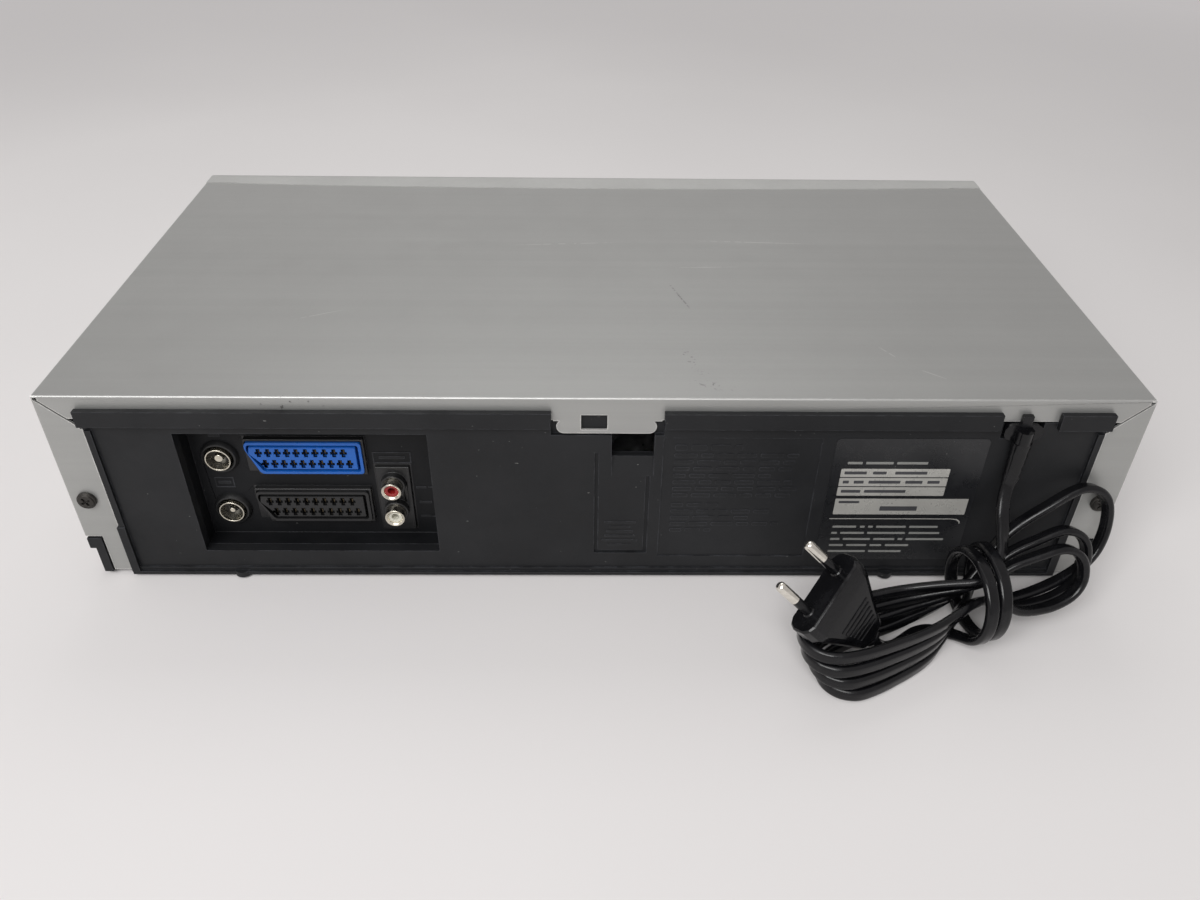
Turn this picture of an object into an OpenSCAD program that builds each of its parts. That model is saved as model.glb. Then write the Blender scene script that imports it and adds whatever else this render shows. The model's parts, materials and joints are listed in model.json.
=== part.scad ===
// Home video cassette recorder: steel cover, moulded chassis, front-loading tape deck
// Millimetres, +Z up, front towards -Y, rear sockets towards +Y

/* [Body] */
// Width across the cover's sides
body_w = 430; // [424:2:436]
// Height of the cover's top above the surface it stands on
body_h = 92; // [92:0.5:94]
// Depth from the bezel's front face to the cover's rear flange
body_d = 234.5; // [234:0.5:238]
// Height of the cover's lower edge above the surface
lift = 2.5; // [2:0.5:3]
// Thickness of the cover's steel sheet
skin = 1; // [0.8:0.1:1.2]

/* [Rear] */
// Height of the cover's rear flange under the top
flange_top = 10; // [9:0.5:11]
// Width of the cover's rear flange at the sides
flange_side = 15.5; // [15:0.5:16]
// How far the ledge stands out over the rear flange
ledge_out = 3; // [2.5:0.5:3.5]
// Depth of the socket bay
bay_depth = 12; // [11:0.5:13]
// Sideways place of the cover screws
screw_x = 208; // [206:1:209]
// Height of the cover screws
screw_z = 41.6; // [38:0.2:46]

/* [Sockets] */
// Height of the upper 21-pin socket's middle
scart_high_z = 56.6; // [55:0.2:58]
// Height of the lower 21-pin socket's middle
scart_low_z = 31.2; // [30:0.2:33]
// Sideways middle of both 21-pin sockets
scart_x = 119.3; // [118:0.1:121]
// Outer radius of an audio socket's ring
audio_ring_r = 4.15; // [4.1:0.05:4.2]
// Outer radius of an aerial socket's ring
aerial_ring_r = 5.25; // [5:0.05:5.5]

/* [Front] */
// How far the buttons stand out of the bezel
button_out = 1.5; // [1:0.5:2]
// Gap around each button
button_gap = 0.35; // [0.3:0.05:0.5]
// Rounding of the bezel's upper front edge
brow_r = 12; // [10:1:12]
// How far the bezel's rear edge bows back at the middle
seam_bow = 4.5; // [3:0.5:6]

/* [Tape deck] */
// Radius of the head drum
drum_r = 31; // [31:0.5:31]
// Lean of the head drum from upright
drum_lean = 5; // [0:1:5]
// Travel of the cassette basket inwards
carry_in = 60; // [55:1:60]
// Travel of the cassette basket downwards
carry_down = 20; // [18:1:20]

/* [Mains cord] */
// Diameter of the round tube that stands for the cord
tube_d = 4.4; // [4:0.1:4.6]
// Layer step of the hank's loops
layer_step = 5.6; // [5.4:0.1:5.8]
// Radius of the turns that bind the hank
bind_r = 17.8; // [17.6:0.1:18]

/* [Hidden] */

$fn = 48;
eps = 0.01;
x_side = body_w / 2;
rear_y = body_d / 2 - (ledge_out - button_out) / 2;
front_y = rear_y - body_d;
panel_y = rear_y + 0.5;
seam_y = rear_y - 213.4;
seam_gap = 0.4;
win_x = x_side - flange_side;
flange_z = body_h - flange_top;

// Colours, as they read in daylight
steel_grey = [0.60, 0.60, 0.58];
silver = [0.66, 0.65, 0.62];
black = [0.10, 0.10, 0.11];
zinc = [0.72, 0.73, 0.72];
nickel = [0.80, 0.78, 0.72];

// Basic solids between named limits
module block(x, y, z)
    translate([x[0], y[0], z[0]]) cube([x[1] - x[0], y[1] - y[0], z[1] - z[0]]);
module rod_x(y, z, r, x)
    translate([x[0], y, z]) rotate([0, 90, 0]) cylinder(r = r, h = x[1] - x[0]);
module rod_y(x, z, r, y)
    translate([x, y[0], z]) rotate([-90, 0, 0]) cylinder(r = r, h = y[1] - y[0]);
module rod_z(x, y, r, z)
    translate([x, y, z[0]]) cylinder(r = r, h = z[1] - z[0]);
module both_sides() {
    children();
    mirror([1, 0, 0]) children();
}
// Flat plate in the XZ plane, from its outline
module plate_y(y, points)
    translate([0, y[1], 0]) rotate([90, 0, 0]) linear_extrude(y[1] - y[0]) polygon(points);
// Flat plate in the XY plane, from its outline
module plate_z(z, points)
    translate([0, 0, z[0]]) linear_extrude(z[1] - z[0]) polygon(points);
// Rounded rectangle facing the front or the rear
module pill_y(x, z, w, h, r, y)
    translate([x, y[1], z]) rotate([90, 0, 0]) linear_extrude(y[1] - y[0]) {
        square([w - 2 * r, h], center = true);
        square([w, h - 2 * r], center = true);
        for (i = [-1, 1], j = [-1, 1])
            translate([i * (w / 2 - r), j * (h / 2 - r)]) circle(r);
    }
function arc(cx, cy, r, a, b, n) =
    [for (i = [0:n]) let (t = a + (b - a) * i / n) [cx + r * cos(t), cy + r * sin(t)]];

// Curved seam between the bezel's top and the cover's top
function seam_line(back, n = 24) =
    [for (i = [0:n]) let (x = x_side * (2 * i / n - 1))
        [x, seam_y + back + seam_bow * (1 - pow(x / x_side, 2))]];

// Cover: top, two sides, a rear flange with a locking tab, mitred corners
tab_x = [-24.9, 17.4];
tab_low_x = [-22.9, 16.2];
tab_z = 75.6;
hole_x = [-3.6, 6.6];
hole_z = [77.4, 84.2];
hook_x = x_side - 7.2;
hook_z = 21.5;
module cover_sheet() {
    difference() {
        block([-x_side, x_side], [seam_y, rear_y], [lift, body_h]);
        block([skin - x_side, x_side - skin], [seam_y - 1, rear_y - skin],
            [lift - 1, body_h - skin]);
        block([-win_x, win_x], [rear_y - 2 * skin, rear_y + 1], [lift - 1, flange_z]);
        plate_z([body_h - 2 * skin, body_h + 1],
            concat([[-x_side - 1, seam_y - 2]], seam_line(0), [[x_side + 1, seam_y - 2]]));
    }
    block(tab_x, [rear_y - skin, rear_y], [flange_z - 0.6, flange_z + 1]);
    pill_y((tab_low_x[0] + tab_low_x[1]) / 2, (tab_z + flange_z) / 2,
        tab_low_x[1] - tab_low_x[0], flange_z - tab_z, 3, [rear_y - skin, rear_y]);
}
module corner_cuts() {
    cut_y = [rear_y - 2 * skin, rear_y + 1];
    mitre = 0.7;
    corner = [x_side - 1.5, body_h - 1.5];
    tip_z = flange_z - 0.4;
    // Seam from the corner's small hole to the flange's end, wider where it opens
    plate_y(cut_y, [corner, [win_x + 4.5, tip_z], [win_x - 1, tip_z], [win_x - 1, tip_z - 5],
        [win_x + 0.8, tip_z - 5], [win_x + 1.7, tip_z - 3.5], corner + mitre * [0.7, -0.7]]);
    rod_y(corner[0], corner[1], 0.85, cut_y);
    block([hook_x, x_side + 1], [rear_y - 4, rear_y + 1], [lift - 1, hook_z]);
    rod_y(screw_x, screw_z, 1.7, cut_y);
}
module top_cover() color(steel_grey) difference() {
    cover_sheet();
    both_sides() corner_cuts();
    block(hole_x, [rear_y - 2 * skin, rear_y + 1], hole_z);
}

// Moulded chassis: tray, rear panel with its socket bay, posts and hooks
tray_x = x_side - 3.5;
tray_z = [4.7, 7.2];
wall_y = [rear_y - 4, rear_y - 1.3];
bay_x = [66.9, 165.7];
bay_z = [14, 75];
bay_floor = rear_y + 0.5 - bay_depth;
aerial_x = 154.7;
aerial_z = [28, 55.4];
audio_x = 84.8;
audio_z = [29, 43];
slot_x = [-22.3, -5.5];
gap_x = [-179, -156.2];
deck_z = 19.5;
deck_t = 1.2;
deck_top = deck_z + deck_t;
board_z = [12, 13.6];
drum = [0, 80];
capstan = [58, 45];
deck_posts = [[100, -55], [-100, -55], [100, 30], [-100, 30], [36, 104], [-102, 98]];
board_posts = [[118, -84], [200, -84], [118, 84], [200, 96],
    [-118, -14], [-200, -14], [-118, 98], [-200, 98]];
module ledge_bar(x)
    block(x, [panel_y - eps, rear_y + ledge_out], [flange_z - 2.6, body_h - 5.4]);
module rear_panel_solid() {
    block([-tray_x, tray_x], wall_y, [tray_z[0], body_h - 3]);
    block([0.3 - win_x, win_x - 0.3], [wall_y[1] - eps, panel_y], [lift, flange_z - 0.3]);
    ledge_bar([tab_x[1] + 0.7, win_x + 0.4]);
    ledge_bar([gap_x[1], tab_x[0] - 0.7]);
    ledge_bar([-win_x - 0.4, gap_x[0]]);
    block([0.3 - win_x, win_x - 0.3], [panel_y - eps, panel_y + 1.6], [lift - 0.9, lift + 0.7]);
    block([0.3 - win_x, win_x - 0.3], [panel_y - eps, panel_y + 0.7], [lift + 0.7, lift + 2.6]);
    both_sides() {
        block([win_x - 3.6, win_x - 0.3], [panel_y - eps, panel_y + 1.8], [lift + 0.7, 28]);
        block([win_x - 3.6, win_x - 1.2], [panel_y - eps, panel_y + 1.4], [28, flange_z - 5]);
    }
    for (x = [152.4, -125.5])
        rod_z(x, panel_y - 0.6, 3.6, [lift - 1.4, lift + 1.2]);
    // Lower corner hooks
    both_sides() {
        block([x_side - 6.8, x_side - 3.2], [wall_y[0], rear_y + 0.8], [lift - 0.4, hook_z - 1.4]);
        block([x_side - 6.8, x_side - 0.8], [rear_y - 3.4, rear_y + 0.8],
            [hook_z - 6, hook_z - 0.6]);
        rod_y(screw_x, screw_z, 3.2, [rear_y - 14, wall_y[0] + eps]);
    }
    block([hole_x[0] + 1.6, hole_x[1] - 1.6], [wall_y[1] - eps, rear_y - 0.2],
        [hole_z[0] + 0.3, hole_z[1] - 1.2]);
}
module rear_panel_cuts() {
    block(bay_x, [wall_y[0] - 1, panel_y + 5], bay_z);
    // Seat of the cover's tab
    block([tab_x[0] - 1, tab_x[1] + 1], [wall_y[1], panel_y + 5], [tab_z - 0.6, flange_z + 1]);
    // Latch slot, its finger ramp and the grooves round the tongue
    block(slot_x, [wall_y[0] - 1, panel_y + 5], [64, tab_z]);
    translate([slot_x[0] - 0.2, 0, 0]) rotate([90, 0, 90]) linear_extrude(slot_x[1] - slot_x[0])
        polygon([[panel_y + 1, 64.1], [panel_y - 1.5, 64.1], [panel_y + 0.05, 54], [panel_y + 1, 54]]);
    block([-0.4, 1.2], [panel_y - 1, panel_y + 1], [14.4, 66.4]);
    block([-21.2, 1.2], [panel_y - 1, panel_y + 1], [13.2, 14.8]);
    block([-21.2, -19.6], [panel_y - 1, panel_y + 1], [13.2, 54.8]);
    // Shallow seat beside the label
    block([-88.5, -26], [panel_y - 0.4, panel_y + 1], [11.5, 73.8]);
    // Way out for the mains cord
    block([-174, -158], [wall_y[0] - 1, panel_y + 5], [74.2, 85]);
    both_sides() rod_y(screw_x, screw_z, 1.45, [rear_y - 12.5, rear_y]);
}
module tray() {
    block([-tray_x, tray_x], [front_y + 5, wall_y[0] + eps], tray_z);
    both_sides() block([tray_x - 2, tray_x], [seam_y + 4, wall_y[0] + eps], [tray_z[0], 36]);
    for (p = deck_posts) rod_z(p[0], p[1], 4, [tray_z[1] - eps, deck_z]);
    for (p = board_posts) rod_z(p[0], p[1], 3, [tray_z[1] - eps, board_z[0]]);
}
module chassis_frame() color(black) difference() {
    union() {
        rear_panel_solid();
        tray();
    }
    rear_panel_cuts();
    for (x = [-180:24:180], y = [-60, 20])
        if (abs(x) > 20) block([x, x + 3], [y, y + 34], [tray_z[0] - 1, tray_z[1] + 1]);
}

// Tub behind the socket bay's opening, with holes for the sockets
module socket_bay() color(black) difference() {
    block([bay_x[0] - 1.7, bay_x[1] + 1.7], [bay_floor - 1.6, wall_y[0]],
        [bay_z[0] - 1.7, bay_z[1] + 1.7]);
    block(bay_x, [bay_floor, wall_y[0] + 1], bay_z);
    for (z = aerial_z) rod_y(aerial_x, z, 7.8, [bay_floor - 3, bay_floor + 1]);
    for (z = [scart_low_z, scart_high_z])
        block([scart_x - 24.5, scart_x + 24.5], [bay_floor - 3, bay_floor + 1], [z - 8.7, z + 8.7]);
    block([audio_x - 7.6, audio_x + 7.6], [bay_floor - 3, bay_floor + 1], [16.6, 51.4]);
}

module bottom_plate() color(zinc) difference() {
    block([-205, 205], [-92, 108], [lift + 1, tray_z[0]]);
    for (x = [-180:24:180], y = [-60, 20])
        if (abs(x) > 20) block([x, x + 3], [y, y + 34], [lift, tray_z[0] + 1]);
}

foot_x = 176;
module feet() color([0.16, 0.16, 0.16])
    for (x = [-foot_x, foot_x], y = [-80, 76])
        rod_z(x, y, 10, [0, lift + 1]);

module cover_screws() color([0.16, 0.15, 0.14]) both_sides() difference() {
    union() {
        rod_y(screw_x, screw_z, 3.9, [rear_y, rear_y + 1.5]);
        rod_y(screw_x, screw_z, 3.3, [rear_y + 1.5 - eps, rear_y + 2.2]);
        rod_y(screw_x, screw_z, 1.4, [rear_y - 12, rear_y + eps]);
    }
    translate([screw_x, rear_y + 2.4, screw_z]) rotate([0, 30, 0]) {
        cube([4.2, 2.6, 0.9], center = true);
        cube([0.9, 2.6, 4.2], center = true);
    }
}

// Front bezel: a rounded shell with openings for the flap, window, buttons and jacks
bezel_wall = 2.5;
flap_x = 99.7;
flap_z = [44, 79.5];
flap_axis = [front_y + 4.5, 77.5];
window_x = 62;
window_z = [15, 37];
door_x = [-201, -142];
door_z = [12.4, 34.4];
door_axis = [front_y + 1, 13.6];
jack_bay_y = front_y + 12;
jack_x = [-189, -171.5, -154];
jack_z = 23.6;
button_spots = [
    ["power", -178, 72, 30, 10], ["eject", 122, 72, 18, 9], ["rewind", 126, 44, 18, 12],
    ["play", 152, 44, 26, 16], ["fast_forward", 178, 44, 18, 12], ["stop", 152, 66, 26, 10],
    ["record", 186, 72, 12, 12], ["channel_up", -132, 66, 14, 9], ["channel_down", -132, 52, 14, 9]];
function spot(name) = [for (b = button_spots) if (b[0] == name) b][0];
function bezel_profile(t, back) = concat(
    [[back, lift + t]],
    arc(front_y + 5, lift + 5, 5 - t, 270, 180, 8),
    arc(front_y + brow_r, body_h - brow_r, brow_r - t, 180, 90, 16),
    [[back, body_h - t]]);
module bezel_shell() {
    difference() {
        translate([-x_side, 0, 0]) rotate([90, 0, 90])
            linear_extrude(body_w) polygon(bezel_profile(0, seam_y - seam_gap));
        translate([bezel_wall - x_side, 0, 0]) rotate([90, 0, 90])
            linear_extrude(body_w - 2 * bezel_wall) polygon(bezel_profile(2, seam_y + 1));
    }
    // Top wall's tongue, back to the curved seam
    plate_z([body_h - 2, body_h], concat([[bezel_wall - x_side, seam_y - 6]],
        [for (p = seam_line(-seam_gap)) if (abs(p[0]) < x_side - bezel_wall) p],
        [[x_side - bezel_wall, seam_y - 6]]));
}
module bezel_inside() {
    // Thicker front wall
    block([bezel_wall - x_side - eps, x_side - bezel_wall + eps], [front_y + 2 - eps, front_y + bezel_wall],
        [lift + 5, body_h - brow_r]);
    // Bearings of the cassette flap
    both_sides() block([flap_x + 0.8, flap_x + 4.4], [front_y + bezel_wall - eps, front_y + 10],
        [flap_axis[1] - 5, flap_axis[1] + 5]);
    // Bosses for the front board
    both_sides() for (x = [199, 116])
        rod_y(x, 80.5, 3, [front_y + bezel_wall - eps, front_y + 14]);
    for (x = [-90, 90]) rod_y(x, 36, 3, [front_y + bezel_wall - eps, front_y + 14]);
    // Walls of the front jack bay
    block([door_x[0] - 1.2, door_x[1] + 1.2], [front_y + 2 - eps, jack_bay_y + 1.5],
        [door_z[0] - 2.2, door_z[1] + 1.4]);
}
module bezel_cuts() {
    block([-flap_x - 0.5, flap_x + 0.5], [front_y - 1, front_y + 8], [flap_z[0] - 0.5, flap_z[1] + 0.5]);
    both_sides() rod_x(flap_axis[0], flap_axis[1], 1.55, [flap_x, flap_x + 3.6]);
    block([-window_x - 0.3, window_x + 0.3], [front_y - 1, front_y + 5],
        [window_z[0] - 0.3, window_z[1] + 0.3]);
    for (b = button_spots)
        pill_y(b[1], b[2], b[3] + 2 * button_gap, b[4] + 2 * button_gap, 3 + button_gap,
            [front_y - 1, front_y + 5]);
    block([door_x[0], door_x[1]], [front_y - 1, jack_bay_y], [door_z[0] - 1, door_z[1] + 0.3]);
    rod_x(door_axis[0], door_axis[1], 1.05, [door_x[0] - 0.9, door_x[1] + 0.9]);
    for (x = jack_x) rod_y(x, jack_z, 5.4, [front_y, front_y + 20]);
}
module front_bezel() color(silver) difference() {
    union() {
        bezel_shell();
        bezel_inside();
    }
    bezel_cuts();
}

module cassette_flap() color(silver) {
    block([-flap_x, flap_x], [front_y, front_y + 2.2], flap_z);
    block([-flap_x, flap_x], [front_y + 2.2 - eps, flap_axis[0]], [flap_axis[1] - 1, flap_z[1]]);
    rod_x(flap_axis[0], flap_axis[1], 1.5, [-flap_x - 3, flap_x + 3]);
}
module display_window() color([0.08, 0.08, 0.10])
    block([-window_x, window_x], [front_y + 0.2, front_y + 2.4], window_z);
board_y = [front_y + 14, front_y + 15.6];
module display_tube() color([0.20, 0.30, 0.28]) {
    block([-55, 55], [front_y + 5, front_y + 11], [17, 35]);
    for (x = [-50:10:50]) block([x - 0.4, x + 0.4], [front_y + 11 - eps, board_y[0]], [19, 33]);
}
module front_board() color([0.18, 0.36, 0.22])
    plate_y(board_y, [[-205, 9], [205, 9], [205, 84], [111, 84], [111, 41], [-111, 41],
        [-111, 84], [-205, 84]]);
module button_switches() color([0.20, 0.20, 0.20])
    for (b = button_spots)
        block([b[1] - 3, b[1] + 3], [board_y[0] - 3.6, board_y[0]], [b[2] - 3, b[2] + 3]);
module push_button(name, tint) {
    b = spot(name);
    color(tint) {
        pill_y(b[1], b[2], b[3], b[4], 3, [front_y - button_out, front_y + 3.1]);
        pill_y(b[1], b[2], b[3] + 2, b[4] + 2, 3, [front_y + 3, front_y + 4]);
        rod_y(b[1], b[2], 2, [front_y + 4 - eps, board_y[0] - 5]);
    }
}

// Small door over the front jacks, hinged along its lower edge
module jack_door() color(silver) difference() {
    union() {
        block([door_x[0] + 0.4, door_x[1] - 0.4], [front_y, front_y + 2], [door_z[0] + 0.2, door_z[1]]);
        rod_x(door_axis[0], door_axis[1], 1, [door_x[0] - 0.7, door_x[1] + 0.7]);
    }
    // Finger notch
    rod_y((door_x[0] + door_x[1]) / 2, door_z[1] + 3, 6, [front_y - 1, front_y + 1.2]);
}
module front_jacks() color(nickel) for (x = jack_x) difference() {
    rod_y(x, jack_z, audio_ring_r, [front_y + 3.5, board_y[0]]);
    rod_y(x, jack_z, 3.3, [front_y + 3, front_y + 9]);
}

// Rear sockets
module tuner_can() color(zinc) block([146.5, 167], [60, bay_floor - 3], [board_z[1], 66]);
module aerial_ring(z, core) {
    difference() {
        rod_y(aerial_x, z, aerial_ring_r, [bay_floor - 3, rear_y - 8]);
        rod_y(aerial_x, z, aerial_ring_r - 0.6, [rear_y - 13.5, rear_y - 7]);
    }
    rod_y(aerial_x, z, core, [rear_y - 13.6, rear_y - 9.5]);
}
module aerial_sockets() color(nickel) {
    aerial_ring(aerial_z[1], 1.7);
    aerial_ring(aerial_z[0], 1.1);
}

// 21-pin socket: trapezoid rim, a groove inside it, a block with two rows of slots
scart_pitch = 3.81;
scart_w = 47.2;
scart_h = 15.7;
function scart_outline(t) = let (w = scart_w / 2 - t, h = scart_h / 2 - t)
    [[-w, -h], [w - 5, -h], [w + t * 0.4, h - 3], [w + t * 0.4 - 0.5, h], [-w, h]];
function scart_row(row) = [for (i = [0:9]) scart_pitch * (i - 4.5) + (row > 0 ? 1 : -1) * 0.95];
module scart_slots(y, w, h) for (row = [-1, 1], x = scart_row(row))
    block([x - w / 2, x + w / 2], y, [row * 2.75 - h / 2, row * 2.75 + h / 2]);
module scart_body(z) translate([scart_x, 0, z]) {
    difference() {
        plate_y([bay_floor - 15, rear_y - 8], scart_outline(0));
        plate_y([rear_y - 13, rear_y - 7], scart_outline(1.2));
    }
    difference() {
        plate_y([rear_y - 13 - eps, rear_y - 8.4], scart_outline(2.4));
        scart_slots([rear_y - 12, rear_y - 7], 1.6, 3.4);
    }
}
module scart_blue() color([0.10, 0.33, 0.80]) scart_body(scart_high_z);
module scart_black() color([0.09, 0.09, 0.10]) scart_body(scart_low_z);
module scart_contacts() color([0.70, 0.62, 0.40])
    for (z = [scart_low_z, scart_high_z]) translate([scart_x, 0, z])
        scart_slots([rear_y - 12, rear_y - 9.4], 0.7, 2.6);

audio_shank_r = 3.9;
module audio_jack_block() color([0.08, 0.08, 0.09]) difference() {
    union() {
        block([audio_x - 7, audio_x + 7], [bay_floor - 15, bay_floor + 1.5], [17.2, 50.8]);
        for (z = audio_z) rod_y(audio_x, z, 5.2, [bay_floor + 1.4, rear_y - 7]);
    }
    for (z = audio_z) rod_y(audio_x, z, audio_shank_r, [rear_y - 12, rear_y]);
}
module audio_jack_rings() color(nickel) for (z = audio_z) difference() {
    union() {
        rod_y(audio_x, z, audio_ring_r, [rear_y - 7, rear_y - 3]);
        rod_y(audio_x, z, audio_shank_r, [rear_y - 12, rear_y - 7 + eps]);
    }
    rod_y(audio_x, z, 3.4, [rear_y - 11, rear_y]);
}
module audio_insert(z) difference() {
    rod_y(audio_x, z, 3.4, [rear_y - 11, rear_y - 4]);
    rod_y(audio_x, z, 1.6, [rear_y - 9, rear_y]);
}
module audio_insert_red() color([0.60, 0.10, 0.10]) audio_insert(audio_z[1]);
module audio_insert_white() color([0.88, 0.87, 0.82]) audio_insert(audio_z[0]);
module rating_label() color([0.07, 0.07, 0.08])
    block([-155, -94], [panel_y, panel_y + 0.2], [10, 74]);

// Circuit boards and the power supply
module main_board() color([0.18, 0.36, 0.22]) {
    block([112, 206], [-90, 100], board_z);
    block([76, 145.6], [bay_floor - 16.6, bay_floor - 15], [board_z[0], 70]);
    block([76, 113], [bay_floor - 30, bay_floor - 15], board_z);
    for (y = [-60, -20, 20]) block([130, 158], [y, y + 20], [board_z[1] - eps, 16.6]);
    for (y = [-70, -40, -10]) rod_z(180, y, 6, [board_z[1] - eps, 28]);
}
module power_board() color([0.45, 0.33, 0.18]) {
    block([-206, -112], [-20, 104], board_z);
    for (p = [[-125, 84], [-140, 84], [-130, 0]]) rod_z(p[0], p[1], 6.5, [board_z[1] - eps, 40]);
}
module transformer() color([0.35, 0.28, 0.20]) {
    block([-198, -150], [20, 58], [board_z[1], 50]);
    block([-192, -156], [14, 64], [20, 44]);
}
module heat_sink() color(zinc) {
    block([-142, -116], [40, 43], [board_z[1], 60]);
    for (x = [-141:5:-116]) block([x, x + 1.4], [42.9, 56], [board_z[1], 60]);
}

// Tape deck
reel_x = 46;
reel_y = -10;
pinch_pivot = [84, 46];
cam = [-70, 62];
gear_module = 1;
cam_teeth = 40;
pinion_teeth = 12;
gear_reach = gear_module * (cam_teeth + pinion_teeth) / 2;
guide_rest = [32, 26];
guide_end = [36, 68];
module guide_slot() {
    run = guide_end - guide_rest;
    translate(guide_rest) rotate(atan2(run[1], run[0])) {
        translate([0, -2.3, deck_z - 1]) cube([norm(run), 4.6, 4]);
        for (d = [0, norm(run)]) translate([d, 0, deck_z - 1]) cylinder(r = 2.3, h = 4);
    }
}
module deck_plate() color(zinc) difference() {
    union() {
        plate_z([deck_z, deck_top], [[-108, -62], [108, -62], [108, 78], [62, 78], [62, 84],
            [42, 84], [42, 110], [-42, 110], [-42, 104], [-108, 104]]);
        for (x = [-reel_x, reel_x]) rod_z(x, reel_y, 2, [deck_top - eps, 34]);
    }
    both_sides() guide_slot();
    rod_z(capstan[0], capstan[1], 6, [deck_z - 1, deck_top + 1]);
    rod_z(pinch_pivot[0], pinch_pivot[1], 2.05, [deck_z - 1, deck_top + 1]);
    rod_z(cam[0], cam[1], 2.05, [deck_z - 1, deck_top + 1]);
    rod_z(cam[0], cam[1] + gear_reach, 3, [deck_z - 1, deck_top + 1]);
}
drum_base_z = 25;
module on_drum_axis() translate([drum[0], drum[1], drum_base_z]) rotate([0, drum_lean, 0]) children();
module lower_drum() color(zinc) {
    difference() {
        union() {
            rod_z(drum[0], drum[1], 22, [deck_top, drum_base_z + 3]);
            on_drum_axis() cylinder(r = drum_r, h = 14, $fn = 96);
        }
        on_drum_axis() translate([0, 0, 2]) cylinder(r = 2.55, h = 14);
    }
}
module upper_drum() color([0.80, 0.81, 0.82]) on_drum_axis() {
    difference() {
        translate([0, 0, 14.4]) cylinder(r = drum_r, h = 15, $fn = 96);
        translate([0, 0, 25.4]) difference() {
            cylinder(r = 26, h = 5);
            translate([0, 0, -1]) cylinder(r = 12, h = 7);
        }
        for (a = [0, 180]) rotate(a) translate([drum_r - 0.4, -2, 14]) cube([2, 4, 1.4]);
    }
    translate([0, 0, 2.6]) cylinder(r = 2.5, h = 12.2);
}
module capstan_motor() color([0.45, 0.46, 0.48]) difference() {
    union() {
        rod_z(capstan[0], capstan[1], 21.5, [deck_z - 1.4, deck_z]);
        rod_z(capstan[0], capstan[1], 5.9, [12.6, deck_top + 1.5]);
        rod_z(capstan[0], capstan[1], 20.5, [13.4, deck_z - 1.4 + eps]);
    }
    rod_z(capstan[0], capstan[1], 2.05, [12, 28]);
}
module capstan_rotor() color([0.60, 0.61, 0.63]) {
    rod_z(capstan[0], capstan[1], 2, [10, 48]);
    rod_z(capstan[0], capstan[1], 27, [10, 12]);
    difference() {
        rod_z(capstan[0], capstan[1], 27, [12 - eps, 17.6]);
        rod_z(capstan[0], capstan[1], 23.5, [11, 18]);
    }
}
// Pinch roller arm, drawn open
pinch_open = -30;
roller_arm = [-20.5, 4.5];
module at_pinch() translate([pinch_pivot[0], pinch_pivot[1], 0]) rotate(pinch_open) children();
module pinch_arm() color(zinc) at_pinch() {
    rod_z(0, 0, 2, [deck_z, 24]);
    difference() {
        union() {
            rod_z(0, 0, 4.5, [deck_top + 0.4, 24.2]);
            rod_z(roller_arm[0], roller_arm[1], 4, [22.6, 24.2]);
            translate([0, 0, 22.6]) rotate(atan2(roller_arm[1], roller_arm[0]))
                translate([0, -3, 0]) cube([norm(roller_arm), 6, 1.6]);
        }
        rod_z(0, 0, 1.9, [20, 24]);
    }
    rod_z(roller_arm[0], roller_arm[1], 1.5, [24, 42]);
}
module pinch_roller() color([0.12, 0.12, 0.12]) at_pinch() difference() {
    rod_z(roller_arm[0], roller_arm[1], 5.5, [25, 40]);
    rod_z(roller_arm[0], roller_arm[1], 1.55, [24, 41]);
}
module reel(x) difference() {
    union() {
        rod_z(x, reel_y, 20, [deck_top + 0.5, deck_top + 2.2]);
        rod_z(x, reel_y, 8, [deck_top + 2, 36]);
        for (a = [0:120:240]) translate([x, reel_y, deck_top + 2]) rotate(a)
            translate([7, -1, 0]) cube([3.4, 2, 12]);
    }
    rod_z(x, reel_y, 2.05, [deck_top, 34.5]);
}
module supply_reel() color([0.85, 0.85, 0.82]) reel(-reel_x);
module takeup_reel() color([0.85, 0.85, 0.82]) reel(reel_x);
module spur_gear(teeth, z) {
    pitch_r = gear_module * teeth / 2;
    rod_z(0, 0, pitch_r - 1.1, z);
    for (i = [0:teeth - 1]) rotate(i * 360 / teeth)
        plate_z(z, [[pitch_r - 1.6, -0.75], [pitch_r + 0.8, -0.28], [pitch_r + 0.8, 0.28],
            [pitch_r - 1.6, 0.75]]);
}
module cam_gear() color([0.90, 0.88, 0.82]) translate([cam[0], cam[1], 0]) {
    spur_gear(cam_teeth, [deck_top + 0.6, deck_top + 4]);
    rod_z(0, 0, 12, [deck_top + 3.9, deck_top + 7]);
    rod_z(0, 0, 2, [deck_z, deck_top + 1]);
}
module loading_pinion() color([0.90, 0.88, 0.82]) translate([cam[0], cam[1] + gear_reach, 0]) {
    rotate(180 / pinion_teeth) spur_gear(pinion_teeth, [deck_top + 0.6, deck_top + 5]);
    rod_z(0, 0, 1, [10.4, deck_top + 1]);
}
module loading_motor() color([0.70, 0.71, 0.72]) translate([cam[0], cam[1] + gear_reach, 0])
    difference() {
        rod_z(0, 0, 11, [8.4, deck_z]);
        rod_z(0, 0, 1.05, [10, deck_z + 1]);
    }
module guide_post() {
    rod_z(guide_rest[0], guide_rest[1], 2, [deck_z - 1.2, deck_top + 1]);
    rod_z(guide_rest[0], guide_rest[1], 3.6, [deck_top + 0.3, deck_top + 3]);
    rod_z(guide_rest[0], guide_rest[1], 1.2, [deck_top + 2.9, 44]);
    rod_z(guide_rest[0], guide_rest[1], 3, [26, 42]);
}
module takeup_guide() color(nickel) guide_post();
module supply_guide() color(nickel) mirror([1, 0, 0]) guide_post();

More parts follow.
